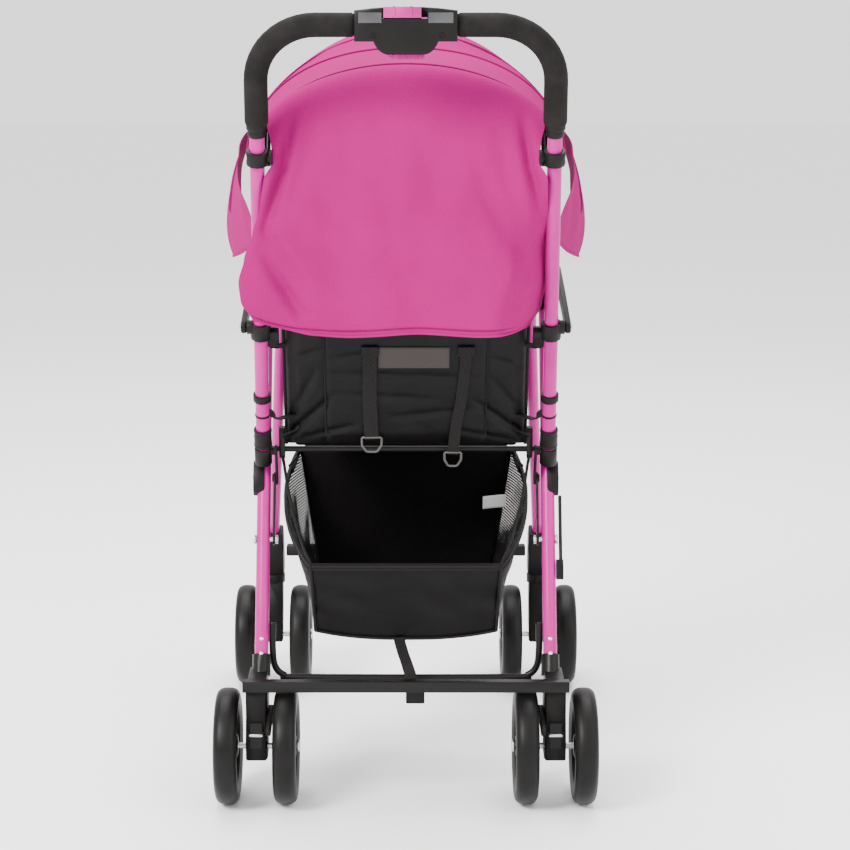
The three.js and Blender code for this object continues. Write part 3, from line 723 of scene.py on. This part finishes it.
def wheel_section(half):
    """The tyre's section: a round tread on two flat side walls."""
    tread = []
    for i in range(17):
        angle = math.pi * i / 16
        wide = (half - 0.4) * math.copysign(abs(math.cos(angle)) ** 0.75, math.cos(angle))
        tread.append((TREAD_BASE + TREAD_CROWN * math.sin(angle) ** 0.75, -wide))
    return [(54, -(half - 3))] + tread + [(54, half - 3)]


def make_spokes(name, centre, body):
    """Spokes, each a bar with a narrow waist: distance out, half width, half depth."""
    stations = ((13, 7.0, 6.2), (22, 5.2, 5.6), (40, 5.6, 5.2), (49, 8.5, 6.2))
    corners = ((-1, -1), (1, -1), (1, 1), (-1, 1))
    verts, faces = [], []
    for i in range(SPOKES):
        angle = 2 * math.pi * i / SPOKES
        out = Vector((0, math.cos(angle), math.sin(angle)))
        across = Vector((0, -math.sin(angle), math.cos(angle)))
        for r, wide, deep in stations:
            middle = centre + out * (r * MM)
            for u, v in corners:
                verts.append(middle + across * (u * wide * MM) + Vector((v * deep * MM, 0, 0)))
        base = i * len(stations) * len(corners)
        for k in range(3):
            for j in range(4):
                a, b = base + k * 4 + j, base + k * 4 + (j + 1) % 4
                faces.append((a, b, b + 4, a + 4))
        faces.append((base + 3, base + 2, base + 1, base))
        faces.append((base + 12, base + 13, base + 14, base + 15))
    spider = piece(name, verts, faces, "black_plastic", body)
    sharpen(spider, 40)
    soften(spider, 1.2 * MM)


def make_wheel(name, node, body):
    low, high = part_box(node)
    centre = (low + high) / 2
    axle = (1, 0, 0)
    tyre = in_metres(wheel_section((high.x - low.x) / 2 / MM))
    turned(f"{name}_tyre", tyre, centre, axle, "wheel_rubber", body, [node], 72)
    rim = in_metres([(47, -9), (50, -12), (55.5, -12.5), (55.5, 12.5), (50, 12), (47, 9)])
    turned(f"{name}_rim", rim, centre, axle, "black_plastic", body, sides=72)
    hub = in_metres([(4.2, -12.8), (12, -12.8), (15.5, -11), (16, -7),
                     (16, 7), (15.5, 11), (12, 12.8), (4.2, 12.8)])
    turned(f"{name}_hub", hub, centre, axle, "black_plastic", body, sides=40)
    make_spokes(f"{name}_spokes", centre, body)


def make_wheels():
    for end in ("rear", "front"):
        for place in ("inner", "outer"):
            for side, _ in SIDES:
                node = f"{end}_wheel_{place}_{side}"
                make_wheel(f"{end}_{place}_{side}", node, f"{end}_{place}_wheel_{side}")


# ---------- small parts on the housing and the suspension ----------
def make_housing_details():
    """Screws and grey trim on the housing's rear face, ribs on the trigger, ridges on the slider."""
    y0 = HANDLE_TOP[0]
    screw = in_metres([(0.2, 0.2), (1.2, 0.2), (1.2, 0.9), (3.0, 0.9), (3.4, 0.2), (3.4, -1), (0.2, -1)])
    for i, x in enumerate((-38, 42)):
        place = P(x, y0 - 20.9, 980)
        turned(f"housing_screw_{i}", screw, place, (0, -1, 0), "black_steel", "handle", sides=24)
    for i in range(5):
        x = -16 + 8 * i
        low, high = (x - 1.1, y0 - 9.2, 952.6), (x + 1.1, y0 - 7, 968)
        brick(f"trigger_rib_{i}", low, high, "pink_plastic", "trigger", edge=0.6)
    for i, x in enumerate((-14, 6)):
        low, high = (x - 1.8, y0 - 22.8, 1001.5), (x + 1.8, y0 - 14, 1013.4)
        brick(f"slider_ridge_{i}", low, high, "pink_plastic", "slider", edge=0.8)
    for name, x0, x1 in (("left", -55, -28), ("right", 26, 55)):
        low, high = (x0, y0 - 22, 994), (x1, y0 - 20, 1006)
        brick(f"housing_trim_{name}", low, high, "grey_plastic", "handle", edge=0.9)


def make_suspension_details():
    """A recess with a cross pin in each rear wheel housing."""
    for side, s in SIDES:
        x = s * 192
        low, high = (x - 8, -22.6, 78), (x + 8, -20, 112)
        brick(f"rear_recess_{side}", low, high, "black_steel", "rear_frame", edge=0.8)
        pin = line(P(x - 9, -23, 96), P(x + 9, -23, 96), 2)
        tube(f"suspension_pin_{side}", pin, 2.2 * MM, "bright_steel", "rear_frame", sides=20)
        for letter, end in (("a", -9), ("b", 9)):
            low, high = (x + end - 1.4, -25, 91), (x + end + 1.4, -19, 101)
            brick(f"pin_ear_{side}_{letter}", low, high, "black_plastic", "rear_frame", edge=0.8)


# ---------- cloth ----------
COLUMNS = 96


def cloth_row(make):
    """A row of points across the canopy, from the right to the left."""
    return [P(*make(math.pi * c / COLUMNS)) for c in range(COLUMNS + 1)]


def rim_point(angle):
    y, z = mix((190, 690), (225, 992), math.sin(angle))
    tuck = 14 * (1 - math.sin(angle)) ** 10
    return (243 * math.cos(angle) - math.copysign(tuck, math.cos(angle)), y, z)


def rear_row(a):
    trim = 0.2
    return arch_point(trim + (math.pi - 2 * trim) * a / math.pi, (0, 944.2), CANOPY_HUB, 188, 2.05)


def middle_row(a):
    trim = 0.05
    return arch_point(trim + (math.pi - 2 * trim) * a / math.pi, (90, 962.4), CANOPY_HUB, 194, 2.2)


def front_row(a):
    return arch_point(a, (158, 982), (130, 752), 226, 2.05)


def between_rows(first, second, steps, sag=0.0):
    """Rows stretched from one row to another, dipping a little between them."""
    rows = []
    for i in range(steps + 1):
        t = i / steps
        dip = math.sin(math.pi * t) * sag
        row = []
        for a, b in zip(first, second):
            point = a.lerp(b, t)
            row.append(point + Vector((-point.x, 0, -0.25)).normalized() * dip * MM)
        rows.append(row)
    return rows


def wrinkle(rows, depth, scale, seed):
    """Small cloth folds pushed along each point's normal, dying away at the first and last rows."""
    count, wide = len(rows), len(rows[0])
    out = []
    for r in range(count):
        edge = min(1.0, min(r, count - 1 - r) / 2.0)
        new = []
        for c in range(wide):
            up = rows[min(r + 1, count - 1)][c] - rows[max(r - 1, 0)][c]
            side = rows[r][min(c + 1, wide - 1)] - rows[r][max(c - 1, 0)]
            normal = side.cross(up).normalized()
            p = rows[r][c]
            at = p * scale + Vector((seed, seed, seed))
            push = noise.noise(at) + 0.5 * noise.noise(at * 2.1)
            new.append(p + normal * (push * depth * MM * edge))
        out.append(new)
    return out


def piping(name, path, radius, look, body, blend=None):
    """A thin corded seam; it rides on a body, or, when a blend is given, is baked in place and rides on no
    body.
    """
    obj = sweep(name, path, circle(radius, 10), look, None if blend else body)
    if blend:
        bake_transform(obj)
    return obj


def outward(path, centre, amount):
    """The same path, moved away from a centre."""
    return [p + (p - centre).normalized() * amount for p in path]


def ease(t):
    """A smooth step from 0 to 1."""
    t = max(0.0, min(1.0, t))
    return t * t * (3 - 2 * t)


def clear_hub(point):
    """Bellies the side cloth out where the leg hub stands inside it once the stroller is folded."""
    outer = 207 * MM
    if abs(point.x) < 0.15 or abs(point.x) > outer:
        return point
    start, run = Vector((8, 822)), Vector((64, -46))
    offset = Vector(((point.y - AXLE_Y) / MM, point.z / MM)) - start
    along = max(0.0, min(1.0, offset.dot(run) / run.length_squared))
    away = (offset - run * along).length
    x = abs(point.x) + (outer - abs(point.x)) * ease((52 - away) / 28)
    return Vector((math.copysign(x, point.x), point.y, point.z))


def with_wings(rows):
    """Adds the side panels: each row's two ends go on down and in, to the wings' lower edge."""
    steps = 7
    out = []
    for r, row in enumerate(rows):
        t = r / (len(rows) - 1)
        low_x, low_y, low_z = mix((186, 14, 730), (229, 190, 690), t)
        sag = 4 * math.sin(math.pi * t)
        new = list(row)
        for s in (1, -1):
            edge = row[0] if s > 0 else row[-1]
            foot = P(s * low_x, low_y, low_z - sag)
            run = []
            for i in range(1, steps + 1):
                k = i / steps
                bow = 5 * math.sin(math.pi * k) * (1 - t)
                run.append(edge.lerp(foot, k) + Vector((s * bow * MM, 0, 0)))
            new = list(reversed(run)) + new if s > 0 else new + run
        out.append([clear_hub(p) for p in new])
    return out


def make_canopy():
    centre = P(0, 60, 760)
    rear, middle = cloth_row(rear_row), cloth_row(middle_row)
    front, rim = cloth_row(front_row), cloth_row(rim_point)

    back_rows = wrinkle(between_rows(rear, middle, 10, 1), 1.0, 22, 3)
    back = grid_piece("canopy_back_panel", back_rows, "pink_fabric", None, 0.0012, subdivide=1)
    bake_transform(back)
    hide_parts("canopy_cloth")

    fore_rows = between_rows(middle, front, 8, 5)[:-1] + between_rows(front, rim, 8, 0)
    fore_rows = wrinkle(with_wings(fore_rows), 1.6, 20, 9)
    fore = grid_piece("canopy_front_panel", fore_rows, "pink_fabric", None, 0.0012, subdivide=1)
    fore_bend = ("canopy_mid", "canopy_front", P(0, 92, 960), P(0, 190, 985))
    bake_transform(fore)

    rear_seam = piping("seam_rear", outward(rear, centre, 0.001), 0.0013, "thread", "handle")
    middle_seam = piping("seam_middle", outward(middle, centre, 0.001), 0.0013, "thread", "canopy_mid")
    front_seam = piping("seam_front", outward(front, centre, 0.001), 0.0011, "thread", None, fore_bend)
    edge = piping("edge_front", fore_rows[-1], 0.0028, "pink_fabric", None, fore_bend)
    lower_edges = [piping(f"wing_edge_{side}", [row[0 if s > 0 else -1] for row in fore_rows], 0.0018,
                          "pink_fabric", None, fore_bend) for side, s in SIDES]
    wings = [wing_seam(side, s, front, rim, fore_bend) for side, s in SIDES]

    make_flap(rear)


def make_flap(rear):
    """The rear flap hangs from the rear bow and rides on the handle."""
    steps = 40
    angles = [math.pi * c / COLUMNS for c in range(COLUMNS + 1)]
    rows = []
    for i in range(steps + 1):
        rows.append([flap_point(i / steps, angle, top) for angle, top in zip(angles, rear)])
    flap = grid_piece("canopy_flap", rows, "pink_fabric", "handle", 0.0012, subdivide=1)
    hem_line = [p + Vector((0, -0.0006, 0.0015)) for p in rows[0]]
    stitch_line = [p + Vector((0, -0.0012, 0)) for p in rows[1]]
    hem = piping("flap_hem", hem_line, 0.0019, "pink_fabric", "handle")
    stitch = piping("flap_stitch", stitch_line, 0.0006, "thread", "handle")
    for obj in (flap, hem, stitch):
        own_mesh(obj)


def wing_seam(side, s, front, rim, bend):
    """A raised seam running down the outside of each side wing."""
    columns = range(2, 26) if s > 0 else range(COLUMNS - 2, COLUMNS - 26, -1)
    path = []
    for i, c in enumerate(columns):
        t = 0.25 + 0.5 * i / 24
        point = front[c].lerp(rim[c], t)
        path.append(point + Vector((s * 0.0014, -0.0012, 0)))
    return piping(f"wing_seam_{side}", path, 0.001, "thread", None, bend)


# soft folds of the hanging flap: from (x, z) to (x, z), how wide and how deep
FLAP_FOLDS = (
    (-134, 872, -170, 750, 7.5, 13),
    (-112, 860, -150, 770, 16, 6),
    (-172, 746, -122, 669, 6.5, 9),
    (-130, 730, -60, 668, 14, 5),
    (-176, 722, -128, 640, 8.5, 12),
    (-120, 812, -60, 745, 19, 6),
    (138, 872, 166, 764, 7.5, 13),
    (112, 850, 156, 690, 14, 8),
    (92, 800, 150, 700, 14, 9),
    (150, 700, 122, 626, 10, 10),
    (-20, 700, 90, 640, 22, 6),
)


def dent(distance, width):
    """A rounded groove, 1 at its middle."""
    return math.exp(-(distance / width) ** 2)


def fold_depth(x, z, folds):
    """How deep the cloth lies in its soft folds at a point of the sheet."""
    depth = 0.0
    for x0, z0, x1, z1, wide, deep in folds:
        run = Vector((x1 - x0, z1 - z0))
        offset = Vector((x - x0, z - z0))
        along = max(0.0, min(1.0, offset.dot(run) / run.length_squared))
        away = (offset - run * along).length
        fade = math.sin(math.pi * (0.12 + 0.76 * along))
        depth += deep * fade * dent(away, wide)
    return depth


# half the flap's width at each height: the left edge hangs loose, the right one is tucked behind the tube
LOOSE_EDGE = ((616, 158), (632, 190), (655, 204), (680, 206), (710, 198), (740, 187), (775, 177), (812, 172),
              (826, 160), (960, 160))
TUCKED_EDGE = ((616, 158), (640, 171), (680, 177), (740, 174), (812, 172), (826, 160), (960, 160))


def flap_half(z, left):
    edge = LOOSE_EDGE if left else TUCKED_EDGE
    for (z0, half0), (z1, half1) in zip(edge, edge[1:]):
        if z <= z1:
            return half0 + (half1 - half0) * ease((z - z0) / (z1 - z0))
    return edge[-1][1]


def flap_point(t, a, top):
    """The hanging rear flap: from a loose hem, over the seat back's bulge, up to the rear bow."""
    across = math.cos(a)
    left = across < 0
    hem_z, bow_z = 614, 940
    z = hem_z + (bow_z - hem_z) * t
    corner = max(0.0, (abs(across) - 0.72) / 0.28)
    if left:
        z += 15 * corner ** 2 * (1 - t) ** 3
    z += 2.0 * math.sin(across * 6.2 + 1) * (1 - t) ** 4
    x = flap_half(z, left) * across
    bulge = math.sin(min(t / 0.6, 1) * math.pi / 2)
    y = -36 - 26 * bulge
    low = 1 - t
    y -= 5 * low * noise.noise(Vector((across * 3.2, t * 2.2, 2.0)))
    y -= 3 * math.sin(math.pi * t) * noise.noise(Vector((across * 5.5 + t * 2.8, t * 5.6, 8.0)))
    y += fold_depth(x, z, FLAP_FOLDS) * (1.2 if left else 1.0)
    if left:
        y += 16 * corner ** 2 * low
    else:
        tuck = corner ** 1.6 * min(1.0, max(0.0, (812 - z) / 90))
        handle_y = on_handle((z - HANDLE_PIVOT[1]) / 0.9134)[0]
        y += (handle_y + 15 - y) * tuck
    point = P(x, y, z)
    pull = max(0.0, (t - 0.62) / 0.38)
    pull = pull ** 1.6
    return point.lerp(top, min(1.0, pull))


# ---------- seat ----------
SEAT_LEAN = math.radians(25)


def back_place(x, up, out):
    """A point of the seat back: up its length from the hinge, out towards its rear face."""
    y = SEAT_HINGE[0] - up * math.sin(SEAT_LEAN) - out * math.cos(SEAT_LEAN)
    z = SEAT_HINGE[1] + up * math.cos(SEAT_LEAN) - out * math.sin(SEAT_LEAN)
    return P(x, y, z)


BACK_FOOT = 9
BACK_LENGTH = 408
BACK_SEAM_X = 105
BACK_SWELL = 12.6
# creases of the seat back's rear face: from (x, up) to (x, up), how wide and how deep
BACK_FOLDS = (
    (-150, 34, -96, 92, 5, 4),
    (-146, 22, -70, 46, 4, 3.5),
    (-150, 60, -118, 130, 5, 3),
    (150, 34, 92, 84, 5, 4),
    (146, 20, 60, 40, 4, 3.5),
    (150, 66, 112, 118, 5, 3),
    (-98, 128, 96, 120, 5, 2.2),
    (-90, 96, 40, 88, 4.5, 1.8),
    (-20, 60, 92, 72, 5, 2),
    (-96, 150, -30, 160, 5, 2),
    (112, 150, 148, 138, 5, 2.4),
    (-148, 150, -110, 164, 5, 2.4),
)


def back_half(up):
    """Half the seat back's width: nearly straight sides, then a rounded head."""
    t = max(0.0, (up - 22) / 395)
    if t < 0.5:
        return 158 - 2 * t
    if t < 0.86:
        return 156.5 - (t - 0.5) * 14
    return 151.5 - 40 * ((t - 0.86) / 0.14) ** 2


def back_depth(x, up, edge, face):
    """How far a face of the seat back stands out: crowned, with channels, creases and a little unevenness."""
    if edge <= 0:
        return 0.0
    swell = BACK_SWELL * min(1.0, edge / 0.12) ** 0.5
    if face > 0:
        channel = 1.7 * dent(abs(x) - BACK_SEAM_X, 3.2) + fold_depth(x, up, BACK_FOLDS)
    else:
        channel = 2.2 * sum(dent(up - seam_up, 5) for seam_up in (110, 200, 290))
    ripple = 1.1 * noise.noise(Vector((x * 0.02, up * 0.025, face * 3)))
    return max(0.0, swell - channel + ripple * swell / BACK_SWELL)


def make_seat_back():
    wide, tall = 96, 104
    columns, count = wide + 1, (wide + 1) * (tall + 1)
    verts, faces = [], []
    for index, face in enumerate((1, -1)):
        for r in range(tall + 1):
            up = BACK_FOOT + BACK_LENGTH * r / tall
            for c in range(columns):
                u = 2 * c / wide - 1
                edge = min(1 - abs(u), r / tall * 2, (1 - r / tall) * 2)
                x = back_half(up) * u
                verts.append(back_place(x, up, face * back_depth(x, up, edge, face)))
        for r in range(tall):
            for c in range(wide):
                a = index * count + r * columns + c
                quad = (a, a + 1, a + columns + 1, a + columns)
                faces.append(quad if face > 0 else tuple(reversed(quad)))
    pad = piece("seat_back_pad", verts, faces, "nylon", None)
    weld = pad.modifiers.new("weld", "WELD")
    weld.merge_threshold = 0.0004
    finer = pad.modifiers.new("smooth", "SUBSURF")
    finer.levels = finer.render_levels = 1
    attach(pad, "seat_backrest")
    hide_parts("seat_back")
    outline = []
    for r in range(tall + 1):
        up = BACK_FOOT + BACK_LENGTH * r / tall
        outline.append(back_place(back_half(up), up, 0))
    loop = outline + [Vector((-p.x, p.y, p.z)) for p in reversed(outline)]
    sweep("seat_back_binding", loop, circle(0.0022, 10), "webbing", "seat_backrest")
    for side, s in SIDES:
        run = [back_place(s * BACK_SEAM_X, up, 12.2) for up in range(30, 400, 12)]
        sweep(f"back_seam_{side}", run, circle(0.0009, 8), "webbing", "seat_backrest")
    patch_rows = [[back_place(x, up, 13.6) for x in range(-36, 57, 4)] for up in range(138, 172, 4)]
    patch = grid_piece("back_patch", patch_rows, "label", "seat_backrest", 0.0008)
    make_back_straps()


def strap(name, points, width, look, body, thick=1.6, up=(0, 1, 0), per_span=6):
    """Flat webbing: modelled along its path, never simulated."""
    path = smooth_path(points, per_span)
    return sweep(name, path, strap_section(width * MM, thick * MM), look, body, up=up)


def strap_ring(name, centre, width, height, body, tilt):
    """A bent wire ring: straight top and sides that draw in to a narrow straight foot."""
    half, narrow, low = width / 2, width * 0.27, height / 2
    right = [(0, low), (half, low), (half, -low * 0.1), (narrow, -low)]
    corners = right + [(-x, z) for x, z in reversed(right)]
    points = []
    for (x0, z0), (x1, z1) in zip(corners, corners[1:]):
        for k in (0.12, 0.5, 0.88):
            x = x0 + (x1 - x0) * k
            z = z0 + (z1 - z0) * k
            points.append(centre + Vector((x * MM, tilt * z * MM, z * MM)))
    points.append(points[0].copy())
    return sweep(name, points, circle(0.0015, 10), "grey_steel", body)


def back_path(*places):
    return [back_place(*place) for place in places]


def make_back_straps():
    """Two recline straps hang down the back panel, each through a ring; short tabs reach the tubes."""
    left = back_path((-46, 166, 15.4), (-47, 100, 15.8), (-46, 52, 16.2), (-45, 28, 17))
    right = back_path((78, 166, 15.4), (73, 100, 15.8), (66, 50, 16.2), (62, 4, 18))
    strap("recline_strap_left", left, 19, "webbing", "seat_backrest")
    strap("recline_strap_right", right, 15, "webbing", "seat_backrest")
    strap_ring("recline_ring_left", back_place(-45, 19, 17), 26, 21, "seat_backrest", -0.45)
    strap_ring("recline_ring_right", back_place(62, -4, 18), 22, 20, "seat_backrest", -0.45)
    for name, x, up in (("left", -46, 164), ("right", 78, 164)):
        rows = [[back_place(x + dx, up + dz, 15.8) for dx in range(-11, 12, 2)] for dz in range(-6, 9, 2)]
        anchor = grid_piece(f"strap_anchor_{name}", rows, "webbing", "seat_backrest", 0.0012)
    for side, s in SIDES:
        points = [back_place(s * 148, 60, 6), P(s * 168, 104, 486), P(s * 179, 107, 497)]
        strap(f"side_tab_{side}", points, 14, "webbing", "seat_backrest", up=(0, 0, 1))


def make_recline_brackets():
    """A small arm reaches each tube from the backrest, and the cloth gathers at its lower corners."""
    for side, s in SIDES:
        points = [back_place(s * 150, 168, 2), back_place(s * 164, 166, 4), P(s * 172, 62, 588)]
        arm = sweep(f"recline_bracket_{side}", smooth_path(points, 6), strap_section(0.007, 0.004),
                    "black_plastic", "seat_backrest", up=(0, 1, 0))
        soften(arm, 0.8 * MM)
        gather = back_path((s * 140, 48, 13), (s * 148, 40, 17), (s * 157, 30, 12))
        strap(f"corner_gather_{side}", gather, 16, "nylon", "seat_backrest", 3, up=(0, 0, 1))


SEAT_LENGTH = 362


def make_seat_cushion():
    """The seat pad with its calf flap, in soft channels."""
    wide, deep = 40, 56
    top, under = [], []
    for r in range(deep + 1):
        d = r / deep * SEAT_LENGTH
        top_row, low_row = [], []
        for c in range(wide + 1):
            u = 2 * c / wide - 1
            x = 148.5 * u * (1 - 0.02 * (d / SEAT_LENGTH) ** 2)
            edge = min(1.0, min(1 - abs(u), 0.25 + r / deep, (1 - r / deep) * 1.4) / 0.1)
            puff = 9.5 * max(edge, 0) ** 0.5
            channel = 2.6 * sum(dent(abs(x) - seam, 5) for seam in (50, 104))
            dip = 1.5 * (1 - u * u) * dent(d - 120, 90)
            (y, z), (out_y, out_z) = seat_line(d)
            rise = puff - channel - dip
            top_row.append(P(x, y + out_y * rise, z + out_z * rise))
            low_row.append(P(x, y - out_y * 10.5, z - out_z * 10.5))
        top.append(top_row)
        under.append(low_row)
    verts = [v for rows in (top, under) for row in rows for v in row]
    faces = []
    count = (wide + 1) * (deep + 1)
    for r in range(deep):
        for c in range(wide):
            a = r * (wide + 1) + c
            faces.append((a, a + wide + 1, a + wide + 2, a + 1))
            b = a + count
            faces.append((b, b + 1, b + wide + 2, b + wide + 1))
    border = list(range(wide + 1))
    border += [r * (wide + 1) + wide for r in range(1, deep + 1)]
    border += [deep * (wide + 1) + c for c in reversed(range(wide))]
    border += [r * (wide + 1) for r in reversed(range(1, deep))]
    for a, b in zip(border, border[1:] + border[:1]):
        faces.append((a, b, b + count, a + count))
    pad = piece("seat_pad", verts, faces, "black_fabric", None)
    finer = pad.modifiers.new("smooth", "SUBSURF")
    finer.levels = finer.render_levels = 1
    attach(pad, "rear_frame")
    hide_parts("seat_cushion")


def seat_line(d):
    """A side-view point of the seat d along it, and the direction out of its upper face."""
    bend_start, bend_end = 214, 250
    if d < bend_start:
        t = d / bend_start
        return (166 + 214 * t, 448 + 11 * t), (-0.05, 0.998)
    if d < bend_end:
        angle = (d - bend_start) / (bend_end - bend_start) * math.radians(84)
        over, down = 21 * math.sin(angle), 21 * (1 - math.cos(angle))
        return (380 + over, 459 - down), (math.sin(angle), math.cos(angle))
    t = (d - bend_end) / (SEAT_LENGTH - bend_end)
    return (401 + 6 * t, 438 - 88 * t), (0.995, 0.09)


# ---------- basket ----------
BASKET_ROWS = 14
BASKET_COLUMNS = 32
BASKET_SLACK = 3
BASKET_LOW = {"x": 119, "back": 78, "front": 330, "z_back": 207, "z_front": 215}
BASKET_TOP = {"x": 124, "back": 58, "front": 372, "z_back": 298, "z_front": 394}


def basket_size(key, t):
    """A measure of the basket at a height: t runs from the floor 0 to the rim 1."""
    return BASKET_LOW[key] + (BASKET_TOP[key] - BASKET_LOW[key]) * t


def basket_point(u, v, t):
    """u across from -1 to 1, v from the rear 0 to the front 1, t from the floor 0 to the rim 1."""
    belly = 42 * math.sin(0.8 * math.pi * v) ** 0.8 * t ** 0.8
    x = u * (basket_size("x", t) + belly)
    back, front = basket_size("back", t), basket_size("front", t)
    low = BASKET_LOW["z_back"] + (BASKET_LOW["z_front"] - BASKET_LOW["z_back"]) * v
    high = BASKET_TOP["z_back"] + (BASKET_TOP["z_front"] - BASKET_TOP["z_back"]) * v
    sag = 11 * (1 - abs(u) ** 2.5) * (1 - t) ** 2
    return P(x, back + (front - back) * v, low + (high - low) * t - sag)


def basket_wall(name, look, corner_from, corner_to, inward, replaces=()):
    """One slack wall between two corners, each given as (u, v)."""
    rows = []
    for r in range(BASKET_ROWS + 1):
        t = r / BASKET_ROWS
        row = []
        for c in range(BASKET_COLUMNS + 1):
            k = c / BASKET_COLUMNS
            u, v = mix(corner_from, corner_to, k)
            uneven = 0.6 + 1.2 * noise.noise(Vector((k * 5 + t * 2, t * 3, 4)))
            slack = BASKET_SLACK * math.sin(math.pi * t) * uneven
            row.append(basket_point(u, v, t) + Vector(inward) * (slack * MM))
        rows.append(row)
    sheet = grid_piece(name, rows, look, "rear_frame", 0.001, replaces)
    return rows


def basket_cord(name, path, radius=0.0021):
    return sweep(name, path, circle(radius, 10), "webbing", "rear_frame")


def make_basket():
    rear = basket_wall("basket_rear", "nylon", (-1, 0), (1, 0), (0, 1, 0), ["basket"])
    front = basket_wall("basket_front", "black_fabric", (1, 1), (-1, 1), (0, -1, 0))
    right = basket_wall("basket_side_right", "net", (1, 0), (1, 1), (-1, 0, 0))
    left = basket_wall("basket_side_left", "net", (-1, 1), (-1, 0), (1, 0, 0))
    floor_rows = []
    for r in range(21):
        lift = Vector((0, 0, 1.2 * MM * math.sin(math.pi * r / 20)))
        across = [2 * c / BASKET_COLUMNS - 1 for c in range(BASKET_COLUMNS + 1)]
        floor_rows.append([basket_point(u, r / 20, 0) + lift for u in across])
    base = grid_piece("basket_floor", floor_rows, "black_fabric", "rear_frame", 0.0012)
    rim, foot = ([*rear[i], *right[i][1:], *front[i][1:], *left[i][1:]] for i in (-1, 0))
    sweep("basket_rim_binding", rim, strap_section(0.0022, 0.009), "webbing", "rear_frame", up=(0, 0, 1))
    basket_cord("basket_foot_binding", foot, 0.0018)
    for side, s in SIDES:
        corner = [row[-1 if s > 0 else 0] for row in rear]
        basket_cord(f"basket_corner_{side}", corner, 0.0022)
        rear_end = basket_point(s * 0.98, 0.0, 0.98)
        rear_cord = [P(s * 164, 147, 431), P(s * 152, 112, 372), P(s * 136, 80, 324), rear_end]
        basket_cord(f"basket_cord_{side}", smooth_path(rear_cord, 8))
        front_cord = [P(s * 160, 245, 395), P(s * 152, 300, 396), basket_point(s * 0.99, 0.82, 0.98)]
        basket_cord(f"basket_front_cord_{side}", smooth_path(front_cord, 8))
    tag_rows = []
    for j in range(6):
        tag_rows.append([P(108 + 4 * i, 300 - 0.05 * i * i, 322 + 3.6 * j + 0.5 * i) for i in range(9)])
    tag = grid_piece("basket_tag", tag_rows, "tag", "rear_frame", 0.0006)


def make_basket_strap():
    """A buckled strap drops from the basket's rear hem, behind the crossbar."""
    points = [P(-9, 80, 199), P(-8, 72, 194), P(-4, 46, 187), P(2, 14, 178), P(7, 3, 164),
              P(10, 0.5, 146), P(12, 0, 134)]
    strap("basket_strap", points, 15, "webbing", "rear_frame")
    brick("strap_buckle", (0, -3.4, 132), (24, 3.6, 151), "black_plastic", "rear_frame", edge=1.6)


def make_harness():
    """Shoulder, waist and crotch straps lie on the seat and meet in one buckle."""
    body = "seat_backrest"
    flat = (1, 0, 0.001)
    for side, s in SIDES:
        shoulder = back_path((s * 62, 330, -14.2), (s * 60, 240, -14.8), (s * 50, 150, -16),
                             (s * 26, 84, -26))
        strap(f"shoulder_strap_{side}", shoulder, 22, "webbing", body, up=flat)
        pad = smooth_path(back_path((s * 61, 300, -16), (s * 57, 220, -17), (s * 51, 160, -18)), 8)
        sleeve = strap_section(0.036, 0.007)
        soften(sweep(f"shoulder_pad_{side}", pad, sleeve, "black_fabric", body, up=flat), 2 * MM)
        waist = back_path((s * 132, 40, -14.2), (s * 80, 48, -17), (s * 26, 66, -27))
        strap(f"waist_strap_{side}", waist, 22, "webbing", body, up=(0, 0.9, 0.4))
    crotch = back_path((0, 30, -22), (0, 52, -27), (0, 62, -30))
    strap("crotch_strap", crotch, 24, "webbing", body, up=flat)
    make_harness_buckle(body)


def make_harness_buckle(body):
    """An oval buckle, built as rings of one outline: distance out, scale."""
    centre = back_place(0, 76, -30)
    layers = ((-5, 0.94), (-3.5, 1), (3.5, 1), (5.5, 0.9), (6.2, 0.6))
    sides = 28
    verts, faces = [], []
    for out, scale in layers:
        for i in range(sides):
            angle = 2 * math.pi * i / sides
            x, up = 26 * math.cos(angle) * scale, 22 * math.sin(angle) * scale
            y = -up * math.sin(SEAT_LEAN) + out * math.cos(SEAT_LEAN)
            z = up * math.cos(SEAT_LEAN) + out * math.sin(SEAT_LEAN)
            verts.append(centre + Vector((x, y, z)) * MM)
    for k in range(len(layers) - 1):
        for i in range(sides):
            a, b = k * sides + i, k * sides + (i + 1) % sides
            faces.append((a, a + sides, b + sides, b))
    faces.append(tuple(range(sides)))
    faces.append(tuple(reversed(range(len(verts) - sides, len(verts)))))
    sharpen(piece("harness_buckle", verts, faces, "black_plastic", body))


add_camera()
add_stage()
make_frame_tubes()
make_grips()
make_joints()
keep_cad_parts()
make_wheels()
make_housing_details()
make_suspension_details()
make_canopy()
make_seat_back()
make_recline_brackets()
make_seat_cushion()
make_basket()
make_basket_strap()
make_harness()
